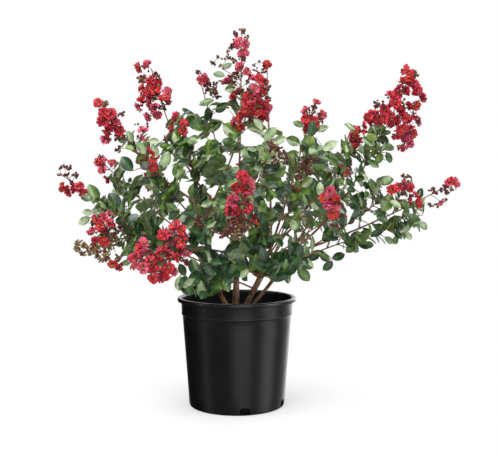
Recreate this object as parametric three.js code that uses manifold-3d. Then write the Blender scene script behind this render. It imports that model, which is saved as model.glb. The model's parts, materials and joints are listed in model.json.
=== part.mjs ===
// A potted crape myrtle in flower: a nursery pot filled with potting mix, seven stems, the boughs that
// they carry and the masses of twigs, leaves and flower heads that the boughs end in.
// Millimetres, +Z up, +Y away from the front. The origin is the middle of the pot's flat underside.
import * as THREE from "three";
import { mergeVertices } from "three/addons/utils/BufferGeometryUtils.js";
import Module from "manifold-3d";

const wasm = await Module();
wasm.setup();

// ---------------------------------------------------------------------------------------------
// Driving dimensions
// ---------------------------------------------------------------------------------------------

const GAP = 0.3; // clearance between neighbouring solids
const SLIVER = 0.03; // faces thinner than this are merged away

const POT = {
  height: 255,
  baseRadius: 112.7,
  cornerRadius: 4,
  cornerBulge: 0.3,
  bodyTopRadius: 128.5,
  bodyTop: 216,
  collarBottom: 219,
  collarBottomRadius: 130,
  collarTopRadius: 131.5,
  rimRadius: 140,
  rimDepth: 9.5,
  rimRound: 3,
  rimEdge: 1,
  wall: 2.2,
  floor: 3,
  sides: 36,
};

const HOLE = { count: 6, width: 24, bottom: 3.4, height: 15, firstTurn: -79.7, depth: 16 };

const SOIL = { top: 217, sides: 28 };

const STEM = {
  ring: 20,
  footRadius: 4.6,
  tipRadius: 3.2,
  flare: 1.4,
  flareHeight: 15,
  flareAt: [0.03, 0.07],
  sides: 6,
  steps: 6,
};
const BOUGH = { footRadius: 2.9, tipRadius: 2.1, sides: 5, steps: 4 };
const AXIS = { footRadius: 2.2, tipRadius: 1.2, sides: 3, steps: 5, key: 40 };

// Side twigs leave the axis of a mass by the golden angle and grow shorter towards its tip. A twig that
// doesn't fit at its full length is tried shorter.
const TWIG = {
  spacing: 42,
  firstAt: 0.2,
  longest: 125,
  shortest: 50,
  lengthSpread: 0.15,
  shorter: [1, 0.75, 0.5],
  lean: 52,
  leanSpread: 8,
  turnSpread: 15,
  rise: 0.28,
  rootRadius: 0.3,
  footRadius: 1.6,
  tipRadius: 1.2,
  sides: 3,
  rings: [0, 0.12, 1],
  leafy: [0.22, 0.92],
  clearance: 5,
};

// Leaves leave a twig to one side and the other, hang a little and face out and up. One that doesn't fit is
// tried again, turned further round.
const LEAF = {
  length: 70,
  width: 40,
  thickness: 1.4,
  spacing: 42,
  spread: 55,
  lastSpread: 12,
  hang: 0.12,
  turnSpread: 25,
  tries: 4,
  turnOn: 70,
  faceOut: 0.8,
  faceUp: 0.7,
  faceSpread: 0.35,
  steep: 0.7,
  margin: 3.5,
  lowest: 274,
  lastAt: 0.97,
  rootVolume: 1,
};

// Flowers stand out further and more squarely at the foot of a head than at its tip. Each adds `area` to the
// head's length times its width.
const FLOWER = {
  radius: 19,
  lift: 4,
  area: 3600,
  shortest: 20,
  footLean: 75,
  tipLean: 30,
  from: 0.1,
  to: 0.9,
};

// The smaller heads on side twigs.
const LOBE = { size: [50, 45], from: 0.5, leafy: [0.22, 0.6] };

const GOLDEN = 137.5; // degrees between one twig and the next
const SHOOT_TURN = 962.5; // degrees that the first twig of each shoot is turned from that of the one before
const SEED = 7.31;
const CROWN_HEART = new THREE.Vector3(0, 0, 400);
const UP = new THREE.Vector3(0, 0, 1);

// Stems: name, place of the foot on its ring in degrees, point that the stem leans towards, tip.
const STEMS = [
  ["left", 195, [-95, -35, 370], [-61, 0, 490]],
  ["centre", 247, [-2, -36, 330], [5, -45, 440]],
  ["right", 298, [55, -32, 300], [90, 0, 400]],
  ["far_right", 350, [88, -30, 290], [150, -45, 400]],
  ["back_right", 41, [65, 60, 300], [115, 120, 390]],
  ["back", 92, [5, 75, 320], [-10, 130, 420]],
  ["back_left", 144, [-70, 50, 310], [-130, 85, 400]],
];

// Shoots: name, stem, share of the stem that it leaves at (1 is the stem's tip), tip, arch (over 0 bends
// over, under 0 turns up), share that is a bare bough (0 for none), length and width of the flower head at
// the tip (0 for none), side twigs that flower too.
const SHOOTS = [
  ["left_top", "left", 1, [-214, 40, 830], -0.3, 0.36, 130, 80, 2],
  ["left_high", "left", 0.9, [-313, -60, 707], -0.2, 0.4, 115, 70, 2],
  ["crown_front", "left", 0.83, [53, -100, 762], -0.1, 0.36, 135, 95, 2],
  ["left_inner", "left", 0.76, [-122, -120, 672], -0.05, 0, 55, 45, 0],
  ["left_mid", "left", 0.69, [-205, -160, 591], -0.08, 0, 50, 45, 0],
  ["left_low", "left", 0.58, [-338, -165, 366], 0.2, 0.34, 110, 110, 3],
  ["crown_top", "centre", 1, [12, 30, 893], 0.04, 0.42, 130, 55, 2],
  ["front_buds", "centre", 0.95, [77, -200, 597], -0.06, 0, 40, 40, 0],
  ["front_mid", "centre", 0.88, [8, -330, 531], 0.16, 0, 100, 75, 2],
  ["inner_front", "centre", 0.74, [-84, -190, 438], 0.05, 0, 0, 0, 0],
  ["front_left_low", "centre", 0.6, [-191, -270, 327], 0.22, 0.34, 115, 130, 3],
  ["front_low", "centre", 0.42, [50, -215, 325], 0.08, 0, 0, 0, 0],
  ["right_top", "right", 1, [193, 120, 732], -0.06, 0.4, 70, 60, 1],
  ["crown_back", "right", 0.88, [73, 100, 823], 0.05, 0.6, 80, 45, 0],
  ["right_buds", "right", 0.8, [161, -200, 572], -0.06, 0, 40, 40, 0],
  ["front_right", "right", 0.7, [191, -270, 508], 0.1, 0, 70, 60, 1],
  ["inner_right", "right", 0.56, [75, -150, 450], 0.05, 0, 0, 0, 0],
  ["low_left", "right", 0.34, [-108, -220, 318], 0.12, 0, 0, 0, 0],
  ["right_inner", "far_right", 1, [262, -100, 655], -0.05, 0, 60, 55, 1],
  ["right_high", "far_right", 0.87, [402, -60, 786], -0.24, 0.4, 190, 140, 3],
  ["right_tip", "far_right", 0.8, [502, -50, 526], -0.05, 0.42, 95, 70, 1],
  ["right_mid", "far_right", 0.74, [370, -160, 531], -0.07, 0, 80, 75, 1],
  ["right_leafy", "far_right", 0.66, [412, -105, 440], 0.05, 0, 0, 0, 0],
  ["right_low", "far_right", 0.5, [168, -190, 372], 0.06, 0, 0, 0, 0],
  ["back_right_top", "back_right", 1, [300, 250, 590], -0.05, 0.36, 85, 70, 1],
  ["back_right_mid", "back_right", 0.86, [165, 340, 520], 0.05, 0, 75, 65, 1],
  ["back_right_low", "back_right", 0.7, [275, 150, 455], 0.06, 0, 60, 60, 0],
  ["back_top", "back", 1, [20, 310, 595], -0.03, 0.36, 85, 70, 1],
  ["back_high", "back", 0.95, [95, 205, 645], 0.04, 0, 60, 50, 0],
  ["mid_left", "back", 0.89, [-90, 0, 777], 0.1, 0, 85, 55, 1],
  ["back_left_mid", "back", 0.8, [-130, 350, 500], 0.1, 0, 75, 65, 1],
  ["inner_back", "back", 0.6, [20, 240, 400], 0.05, 0, 0, 0, 0],
  ["left_upper", "back_left", 1, [-344, 80, 590], -0.08, 0, 60, 55, 0],
  ["left_tip", "back_left", 0.92, [-408, -50, 547], -0.1, 0.4, 90, 70, 1],
  ["back_left_top", "back_left", 0.84, [-250, 290, 560], -0.03, 0.36, 75, 65, 1],
  ["back_left_low", "back_left", 0.74, [-240, 190, 400], 0.06, 0, 0, 0, 0],
  ["left_leafy", "back_left", 0.62, [-332, -30, 428], 0.04, 0, 0, 0, 0],
];

// ---------------------------------------------------------------------------------------------
// Materials
// ---------------------------------------------------------------------------------------------

const PLASTIC = { color: 0x232325, roughness: 0.38, metalness: 0 };
const MIX = { color: 0x2a1d15, roughness: 0.95, metalness: 0 };
const BARK = { color: 0x6b4a3a, roughness: 0.8, metalness: 0 };
const FOLIAGE = { color: 0x4d6f4c, roughness: 0.6, metalness: 0 };

// ---------------------------------------------------------------------------------------------
// Solids
// ---------------------------------------------------------------------------------------------

function solidFrom(positions, index) {
  return new wasm.Manifold(
    new wasm.Mesh({
      numProp: 3,
      vertProperties: new Float32Array(positions),
      triVerts: new Uint32Array(index),
    }),
  );
}

function solidFromGeometry(geometry) {
  geometry.deleteAttribute("normal");
  geometry.deleteAttribute("uv");
  const merged = mergeVertices(geometry, 1e-3);
  return solidFrom(merged.attributes.position.array, merged.index.array);
}

function geometryFrom(solid) {
  const mesh = solid.getMesh();
  const geometry = new THREE.BufferGeometry();
  geometry.setAttribute("position", new THREE.BufferAttribute(mesh.vertProperties, 3));
  geometry.setIndex(new THREE.BufferAttribute(mesh.triVerts, 1));
  geometry.computeVertexNormals();
  return geometry;
}

function largestBody(solid) {
  return solid.decompose().reduce((best, body) => (body.volume() > best.volume() ? body : best));
}

// Slivers go where that leaves the solid in one piece.
function tidied(solid) {
  const whole = largestBody(solid);
  const lighter = whole.simplify(SLIVER);
  return lighter.decompose().length === 1 ? lighter : whole;
}

const radians = THREE.MathUtils.degToRad;
const vector = (values) => new THREE.Vector3(...values);

// A repeatable number from 0 to 1 for each set of whole numbers.
function chance(...keys) {
  const strides = [12.9898, 78.233, 37.719, 94.673];
  const mixed = keys.reduce((sum, key, i) => sum + (key + 1) * strides[i], SEED);
  const wave = Math.sin(mixed) * 43758.5453;
  return wave - Math.floor(wave);
}

// A repeatable number within `spread` of the middle.
const about = (middle, spread, ...keys) => middle + spread * (2 * chance(...keys) - 1);

// A level direction square to the one given.
function sideways(ahead) {
  const side = new THREE.Vector3(ahead.y, -ahead.x, 0);
  return side.length() > 0.05 ? side.normalize() : new THREE.Vector3(1, 0, 0);
}

// The direction square to `ahead` that is turned from sideways by an angle in degrees.
function turned(ahead, degrees) {
  const side = sideways(ahead);
  const other = ahead.clone().cross(side).normalize();
  const angle = radians(degrees);
  return side.multiplyScalar(Math.cos(angle)).addScaledVector(other, Math.sin(angle));
}

// ---------------------------------------------------------------------------------------------
// Curves: a start, a point that pulls the curve towards it, and an end
// ---------------------------------------------------------------------------------------------

function pointAt([start, pull, end], share) {
  const rest = 1 - share;
  return start
    .clone()
    .multiplyScalar(rest * rest)
    .addScaledVector(pull, 2 * rest * share)
    .addScaledVector(end, share * share);
}

function headingAt([start, pull, end], share) {
  const first = pull.clone().sub(start).multiplyScalar(1 - share);
  const second = end.clone().sub(pull).multiplyScalar(share);
  return first.add(second).normalize();
}

function stretch(curve, from, to, steps) {
  return Array.from({ length: steps + 1 }, (_, i) => pointAt(curve, from + ((to - from) * i) / steps));
}

// A closed tapering limb through the points, with flat ends.
function limb(points, radiusAt, sides) {
  const positions = [];
  const index = [];
  const last = (points.length - 1) * sides;
  let side = sideways(points[1].clone().sub(points[0]).normalize());
  points.forEach((point, i) => {
    const before = points[Math.max(i - 1, 0)];
    const after = points[Math.min(i + 1, points.length - 1)];
    const ahead = after.clone().sub(before).normalize();
    side = side.clone().addScaledVector(ahead, -side.dot(ahead)).normalize();
    const other = ahead.clone().cross(side);
    const radius = radiusAt(i / (points.length - 1), point);
    for (let k = 0; k < sides; k++) {
      const angle = (2 * Math.PI * k) / sides;
      const corner = point
        .clone()
        .addScaledVector(side, radius * Math.cos(angle))
        .addScaledVector(other, radius * Math.sin(angle));
      positions.push(...corner.toArray());
    }
  });
  for (let i = 0; i < last; i += sides) {
    for (let k = 0; k < sides; k++) {
      const a = i + k;
      const b = i + ((k + 1) % sides);
      index.push(a, b, b + sides, a, b + sides, a + sides);
    }
  }
  for (let k = 1; k < sides - 1; k++) {
    index.push(0, k + 1, k, last, last + k, last + k + 1);
  }
  return solidFrom(positions, index);
}

const taper = (foot, tip) => (share) => foot + (tip - foot) * share;

// ---------------------------------------------------------------------------------------------
// Pot and soil
// ---------------------------------------------------------------------------------------------

function latheFrom(profile, sides) {
  const points = profile.map(([radius, height]) => new THREE.Vector2(radius, height));
  return solidFromGeometry(new THREE.LatheGeometry(points, sides).rotateX(Math.PI / 2));
}

// Inner radius of the pot's wall at a height, under its collar.
function wallInside(height) {
  const slope = (POT.bodyTopRadius - POT.baseRadius) / POT.bodyTop;
  return POT.baseRadius + slope * height - POT.wall;
}

function potSolid() {
  const corner = POT.cornerRadius;
  const rimBottom = POT.height - POT.rimDepth;
  const lipInside = POT.collarTopRadius - POT.wall;
  const outside = [
    [0, 0],
    [POT.baseRadius - corner, 0],
    [POT.baseRadius - corner * POT.cornerBulge, corner * POT.cornerBulge],
    [POT.baseRadius, corner],
    [POT.bodyTopRadius, POT.bodyTop],
    [POT.collarBottomRadius, POT.collarBottom],
    [POT.collarTopRadius, rimBottom],
    [POT.rimRadius, rimBottom + POT.rimEdge],
    [POT.rimRadius, POT.height - POT.rimRound],
    [POT.rimRadius - POT.rimRound, POT.height],
    [lipInside, POT.height],
  ];
  const inside = [
    [POT.collarBottomRadius - POT.wall, POT.collarBottom],
    [wallInside(POT.bodyTop), POT.bodyTop],
    [wallInside(POT.floor), POT.floor],
    [0, POT.floor],
  ];
  const shell = latheFrom([...outside, ...inside], POT.sides);
  const cutters = Array.from({ length: HOLE.count }, (_, i) => {
    const box = new THREE.BoxGeometry(HOLE.depth, HOLE.width, HOLE.height);
    box.translate(POT.baseRadius, 0, HOLE.bottom + HOLE.height / 2);
    box.rotateZ(radians(HOLE.firstTurn + (360 / HOLE.count) * i));
    return solidFromGeometry(box);
  });
  return shell.subtract(wasm.Manifold.union(cutters));
}

function soilSolid() {
  // The soil has fewer sides than the wall, so its corners are what clears the wall's flats.
  const flats = Math.cos(Math.PI / POT.sides);
  const bottom = POT.floor + GAP;
  const reach = (height) => wallInside(Math.min(height, POT.bodyTop)) * flats - GAP;
  const edge = [bottom, SOIL.top].map((height) => [reach(height), height]);
  return latheFrom([[0, bottom], ...edge, [0, SOIL.top]], SOIL.sides);
}

// ---------------------------------------------------------------------------------------------
// Stems and shoots
// ---------------------------------------------------------------------------------------------

const stemCurves = new Map(
  STEMS.map(([name, turn, pull, tip]) => {
    const angle = radians(turn);
    const foot = vector([STEM.ring * Math.cos(angle), STEM.ring * Math.sin(angle), SOIL.top + GAP]);
    return [name, [foot, vector(pull), vector(tip)]];
  }),
);

// A stem with its root flare; `extra` gives the space that its neighbours keep clear of.
function stemSolid(curve, extra) {
  const [foot, ...line] = stretch(curve, 0, 1, STEM.steps);
  const points = [foot, ...STEM.flareAt.map((share) => pointAt(curve, share)), ...line];
  const ground = foot.z;
  if (extra) points.push(points.at(-1).clone().addScaledVector(headingAt(curve, 1), extra));
  const radiusAt = (place, point) => {
    const rise = Math.min((point.z - ground) / STEM.flareHeight, 1);
    const share = Math.min((point.z - ground) / (curve[2].z - ground), 1);
    return taper(STEM.footRadius, STEM.tipRadius)(share) * (STEM.flare + (1 - STEM.flare) * rise) + extra;
  };
  return limb(points, radiusAt, STEM.sides);
}

// The foot of a stem is cut level with the ground.
function levelFoot(solid) {
  const size = 4 * STEM.ring;
  const slab = new THREE.BoxGeometry(size, size, size).translate(0, 0, SOIL.top + GAP - size / 2);
  return solid.subtract(solidFromGeometry(slab));
}

const shoots = SHOOTS.map(([name, stem, from, tip, arch, bare, head, headWidth, lobes], number) => {
  const start = pointAt(stemCurves.get(stem), from);
  const end = vector(tip);
  const length = start.distanceTo(end);
  const pull = start.clone().lerp(end, 0.5).addScaledVector(UP, arch * length);
  return { name, stem, number, curve: [start, pull, end], length, bare, head, headWidth, lobes };
});

// ---------------------------------------------------------------------------------------------
// Space: each mass keeps to the points that are nearer to its own lines than to any other's
// ---------------------------------------------------------------------------------------------

const segment = new THREE.Line3();
const nearest = new THREE.Vector3();

function distanceTo(point, line) {
  let best = Infinity;
  for (let i = 1; i < line.length; i++) {
    segment.set(line[i - 1], line[i]);
    segment.closestPointToPoint(point, true, nearest);
    best = Math.min(best, nearest.distanceTo(point));
  }
  return best;
}

const distanceToAny = (point, lines) => Math.min(...lines.map((line) => distanceTo(point, line)));

const stemLines = [...stemCurves.values()].map((curve) => stretch(curve, 0, 1, STEM.steps));
const boughLine = (shoot) => stretch(shoot.curve, 0, shoot.bare, BOUGH.steps);
const limbLines = [...stemLines, ...shoots.filter((shoot) => shoot.bare).map(boughLine)];
shoots.forEach((shoot) => {
  const from = shoot.bare ? shoot.bare + GAP / shoot.length : 0;
  shoot.axis = stretch(shoot.curve, from, 1, AXIS.steps);
  shoot.leafyFrom = Math.max(shoot.bare + 0.05, TWIG.firstAt);
  shoot.leafyTo = 1 - shoot.head / shoot.length;
});

// ---------------------------------------------------------------------------------------------
// Twigs
// ---------------------------------------------------------------------------------------------

function twigCurves(shoot, twig, count) {
  const along = (twig + 0.5) / count;
  const share = shoot.leafyFrom + (shoot.leafyTo - shoot.leafyFrom) * along;
  const root = pointAt(shoot.curve, share);
  const ahead = headingAt(shoot.curve, share);
  const turn = GOLDEN * twig + SHOOT_TURN * shoot.number;
  const outward = turned(ahead, about(turn, TWIG.turnSpread, shoot.number, twig, 0, 1));
  const lean = radians(about(TWIG.lean, TWIG.leanSpread, shoot.number, twig, 0, 2));
  const heading = ahead.multiplyScalar(Math.cos(lean)).addScaledVector(outward, Math.sin(lean));
  heading.addScaledVector(UP, TWIG.rise).normalize();
  const full = TWIG.longest + (TWIG.shortest - TWIG.longest) * along;
  const length = full * about(1, TWIG.lengthSpread, shoot.number, twig, 0, 3);
  return TWIG.shorter.map((part) => {
    const end = root.clone().addScaledVector(heading, length * part);
    return [root, root.clone().lerp(end, 0.5), end];
  });
}

function twigFits(shoot, line) {
  const otherAxes = shoots.filter((other) => other !== shoot).map((other) => other.axis);
  return line.slice(1).every((point) => {
    const clear = distanceToAny(point, otherAxes) > distanceTo(point, shoot.axis) + TWIG.clearance;
    return clear && distanceToAny(point, limbLines) > STEM.footRadius + TWIG.clearance;
  });
}

shoots.forEach((shoot) => {
  const leafy = (shoot.leafyTo - shoot.leafyFrom) * shoot.length;
  const count = Math.max(Math.round(leafy / TWIG.spacing), 2);
  shoot.twigs = [];
  for (let twig = 0; twig < count; twig++) {
    const fitting = twigCurves(shoot, twig, count).find((curve) => twigFits(shoot, stretch(curve, 0, 1, 4)));
    if (fitting) shoot.twigs.push({ curve: fitting, number: twig, line: [fitting[0], fitting[2]] });
  }
  shoot.lines = [shoot.axis, ...shoot.twigs.map((twig) => twig.line)];
});

function inOwnSpace(shoot, points) {
  const otherLines = shoots.filter((other) => other !== shoot).flatMap((other) => other.lines);
  return points.every((point) => {
    const clear = distanceToAny(point, otherLines) > distanceToAny(point, shoot.lines) + LEAF.margin;
    return clear && distanceToAny(point, limbLines) > STEM.footRadius + LEAF.margin;
  });
}

// ---------------------------------------------------------------------------------------------
// Leaves and flowers
// ---------------------------------------------------------------------------------------------

// The blade's outline as shares of its length and half width, from its root round by its tip.
const BLADE = [
  [0, 0],
  [0.38, -0.96],
  [0.76, -0.8],
  [1, 0],
  [0.76, 0.8],
  [0.38, 0.96],
];

function leafPoints(root, heading, facing) {
  const across = facing.clone().cross(heading).normalize();
  const face = heading.clone().cross(across).normalize();
  const points = BLADE.map(([along, out]) =>
    root
      .clone()
      .addScaledVector(heading, along * LEAF.length)
      .addScaledVector(across, (out * LEAF.width) / 2),
  );
  const middle = root.clone().addScaledVector(heading, LEAF.length / 2);
  return [...points, middle.addScaledVector(face, LEAF.thickness)];
}

function leafSolid(points) {
  const top = [0, 1, 2, 3, 4, 5].flatMap((i) => [i, (i + 1) % 6, 6]);
  const under = [0, 5, 1, 1, 5, 4, 1, 4, 2, 2, 4, 3];
  return solidFrom(points.flatMap((point) => point.toArray()), [...top, ...under]);
}

// Leaves stand in two rows along a level twig and in four along a steep one.
function leafHeading(ahead, leafNumber, attempt, keys, last) {
  const rows = Math.abs(ahead.z) > LEAF.steep ? 90 * Math.floor(leafNumber / 2) : 0;
  const turn = 180 * leafNumber + rows + LEAF.turnOn * attempt;
  const outward = turned(ahead, about(turn, LEAF.turnSpread, ...keys, attempt));
  const spread = radians(last ? LEAF.lastSpread : LEAF.spread);
  const heading = ahead.clone().multiplyScalar(Math.cos(spread)).addScaledVector(outward, Math.sin(spread));
  return heading.addScaledVector(UP, -LEAF.hang).normalize();
}

function leafFacing(root, attempt, keys) {
  const facing = root.clone().sub(CROWN_HEART).normalize().multiplyScalar(LEAF.faceOut);
  facing.addScaledVector(UP, LEAF.faceUp);
  facing.x += about(0, LEAF.faceSpread, ...keys, attempt + LEAF.tries);
  facing.y += about(0, LEAF.faceSpread, ...keys, attempt + 2 * LEAF.tries);
  return facing;
}

function leafOn(shoot, parts, curve, share, [twigNumber, leafNumber], last) {
  const root = pointAt(curve, share);
  const ahead = headingAt(curve, share);
  const keys = [shoot.number, twigNumber, leafNumber];
  for (let attempt = 0; attempt < LEAF.tries; attempt++) {
    const heading = leafHeading(ahead, leafNumber, attempt, keys, last);
    const points = leafPoints(root, heading, leafFacing(root, attempt, keys));
    const outline = points.slice(1);
    if (outline.some((point) => point.z < LEAF.lowest) || !inOwnSpace(shoot, outline)) continue;
    const leaf = leafSolid(points);
    if (parts.every((part) => part.intersect(leaf).volume() < LEAF.rootVolume)) return leaf;
  }
  return null;
}

function addLeaves(shoot, parts, twigNumber, curve, [from, to], length, terminal) {
  const count = Math.max(Math.round(((to - from) * length) / LEAF.spacing), 1);
  for (let number = 0; number <= count; number++) {
    const last = number === count;
    if (last && !terminal) break;
    const share = last ? LEAF.lastAt : from + ((to - from) * (number + 0.5)) / count;
    const leaf = leafOn(shoot, parts, curve, share, [twigNumber, number], last);
    if (leaf) parts.push(leaf);
  }
}

// One open flower on its stalk: a trumpet from the axis, three-sided at its root and six-sided at its face.
function flowerSolid(root, heading, reach) {
  const side = turned(heading, 0);
  const other = heading.clone().cross(side);
  const positions = [...root.toArray()];
  for (let k = 0; k < 6; k++) {
    const angle = (Math.PI * k) / 3;
    const rim = root
      .clone()
      .addScaledVector(heading, k % 2 ? reach + FLOWER.lift : reach)
      .addScaledVector(side, FLOWER.radius * Math.cos(angle))
      .addScaledVector(other, FLOWER.radius * Math.sin(angle));
    positions.push(...rim.toArray());
  }
  const trumpet = [0, 3, 1, 0, 5, 3, 0, 1, 5, 1, 3, 2, 3, 5, 4, 5, 1, 6];
  const face = [1, 2, 6, 2, 3, 4, 4, 5, 6, 2, 4, 6];
  return solidFrom(positions, [...trumpet, ...face]);
}

// A flower head: flowers set round its axis by the golden angle, closer to the axis towards the tip.
function addHead(shoot, parts, curve, from, [length, width], number) {
  const count = 2 + Math.floor((length * width) / FLOWER.area);
  for (let i = 0; i < count; i++) {
    const along = i / count;
    const share = from + (1 - from) * (FLOWER.from + (FLOWER.to - FLOWER.from) * along);
    const root = pointAt(curve, share);
    const ahead = headingAt(curve, share);
    const outward = turned(ahead, GOLDEN * (i + number));
    const lean = radians(FLOWER.footLean + (FLOWER.tipLean - FLOWER.footLean) * along);
    const heading = ahead.multiplyScalar(Math.cos(lean)).addScaledVector(outward, Math.sin(lean)).normalize();
    const reach = Math.max((width / 2) * (1 - along / 2), FLOWER.shortest);
    const face = root.clone().addScaledVector(heading, reach + FLOWER.lift);
    if (inOwnSpace(shoot, [face])) parts.push(flowerSolid(root, heading, reach));
  }
}

// ---------------------------------------------------------------------------------------------
// A mass of foliage
// ---------------------------------------------------------------------------------------------

// A twig is slim where its root is sunk in the axis.
const twigRadius = (place) => [TWIG.rootRadius, TWIG.footRadius, TWIG.tipRadius][Math.round(place * 2)];

function massSolid(shoot) {
  const { number, curve, twigs, head, headWidth, lobes, leafyFrom, leafyTo } = shoot;
  const parts = [limb(shoot.axis, taper(AXIS.footRadius, AXIS.tipRadius), AXIS.sides)];
  twigs.forEach((twig) => {
    parts.push(limb(TWIG.rings.map((share) => pointAt(twig.curve, share)), twigRadius, TWIG.sides));
  });
  const flowering = twigs.slice(Math.max(twigs.length - lobes, 0));
  if (head) addHead(shoot, parts, curve, leafyTo, [head, headWidth], number);
  flowering.forEach((twig) => addHead(shoot, parts, twig.curve, LOBE.from, LOBE.size, twig.number));
  twigs.forEach((twig) => {
    const flowers = flowering.includes(twig);
    const length = twig.curve[0].distanceTo(twig.curve[2]);
    addLeaves(shoot, parts, twig.number, twig.curve, flowers ? LOBE.leafy : TWIG.leafy, length, !flowers);
  });
  addLeaves(shoot, parts, AXIS.key, curve, [leafyFrom, leafyTo], shoot.length, !head);
  return wasm.Manifold.union(parts);
}

// ---------------------------------------------------------------------------------------------
// The plant
// ---------------------------------------------------------------------------------------------

const plant = new THREE.Group();
plant.name = "crape_myrtle";

function add(name, solid, look) {
  const mesh = new THREE.Mesh(geometryFrom(solid), new THREE.MeshStandardMaterial(look));
  mesh.name = name;
  plant.add(mesh);
}

add("pot", potSolid(), PLASTIC);
add("soil", soilSolid(), MIX);

const stemSpaces = new Map();
for (const [name, curve] of stemCurves) {
  add("stem_" + name, levelFoot(stemSolid(curve, 0)), BARK);
  stemSpaces.set(name, stemSolid(curve, GAP));
}

for (const shoot of shoots) {
  const stemSpace = stemSpaces.get(shoot.stem);
  if (shoot.bare) {
    const bough = limb(boughLine(shoot), taper(BOUGH.footRadius, BOUGH.tipRadius), BOUGH.sides);
    add("bough_" + shoot.name, largestBody(bough.subtract(stemSpace)), BARK);
  }
  const mass = massSolid(shoot);
  add("foliage_" + shoot.name, tidied(shoot.bare ? mass : mass.subtract(stemSpace)), FOLIAGE);
}

export default plant;
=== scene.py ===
import json
import math
from types import SimpleNamespace

import bmesh
import bpy
import numpy as np
from mathutils import Matrix, Vector, noise

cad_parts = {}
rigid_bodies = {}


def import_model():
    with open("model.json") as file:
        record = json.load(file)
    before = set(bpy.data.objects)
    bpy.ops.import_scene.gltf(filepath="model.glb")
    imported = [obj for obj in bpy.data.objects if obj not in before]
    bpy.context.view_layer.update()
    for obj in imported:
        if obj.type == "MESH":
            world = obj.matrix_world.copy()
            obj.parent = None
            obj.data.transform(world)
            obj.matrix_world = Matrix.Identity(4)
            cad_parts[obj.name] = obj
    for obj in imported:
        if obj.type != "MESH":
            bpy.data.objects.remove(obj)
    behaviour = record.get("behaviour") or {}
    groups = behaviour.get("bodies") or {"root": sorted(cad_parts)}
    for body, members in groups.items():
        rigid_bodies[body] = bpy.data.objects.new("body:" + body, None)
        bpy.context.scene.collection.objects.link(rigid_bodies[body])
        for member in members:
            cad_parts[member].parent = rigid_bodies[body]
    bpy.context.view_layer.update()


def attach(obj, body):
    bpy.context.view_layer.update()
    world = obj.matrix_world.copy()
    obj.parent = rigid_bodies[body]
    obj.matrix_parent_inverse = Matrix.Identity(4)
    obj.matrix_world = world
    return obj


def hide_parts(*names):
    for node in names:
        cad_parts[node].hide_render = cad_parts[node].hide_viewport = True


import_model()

# A potted crape myrtle in flower. Sizes are in metres, +Z up, +Y away from the front.
MM = 0.001
UP = np.array([0.0, 0.0, 1.0])

# ---- Sizes of the plant, as in the part ----

GAP = 0.3 * MM
GOLDEN = 137.5
SHOOT_TURN = 962.5
SEED = 7.31
CROWN_HEART = np.array([0.0, 0.0, 400.0]) * MM

SOIL_TOP = 217 * MM
STEM = SimpleNamespace(ring=20 * MM, foot=4.6 * MM, tip=3.2 * MM, flare=1.4, flare_height=15 * MM, steps=6)
BOUGH = SimpleNamespace(foot=2.9 * MM, tip=2.1 * MM, steps=4, to_leaves=0.05)
AXIS = SimpleNamespace(foot=2.1 * MM, tip=1.0 * MM, steps=5, sides=6, rings=14)
TWIG = SimpleNamespace(
    spacing=42 * MM, first_at=0.2, longest=125 * MM, shortest=50 * MM, length_spread=0.15,
    shorter=(1, 0.75, 0.5), lean=52, lean_spread=8, turn_spread=15, rise=0.28, clearance=5 * MM,
    foot=1.3 * MM, tip=0.8 * MM, sides=5,
)

# Stems: name, place of the foot on its ring in degrees, point that the stem leans towards, tip (mm).
STEMS = [
    ("left", 195, (-95, -35, 370), (-61, 0, 490)),
    ("centre", 247, (-2, -36, 330), (5, -45, 440)),
    ("right", 298, (55, -32, 300), (90, 0, 400)),
    ("far_right", 350, (88, -30, 290), (150, -45, 400)),
    ("back_right", 41, (65, 60, 300), (115, 120, 390)),
    ("back", 92, (5, 75, 320), (-10, 130, 420)),
    ("back_left", 144, (-70, 50, 310), (-130, 85, 400)),
]

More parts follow.
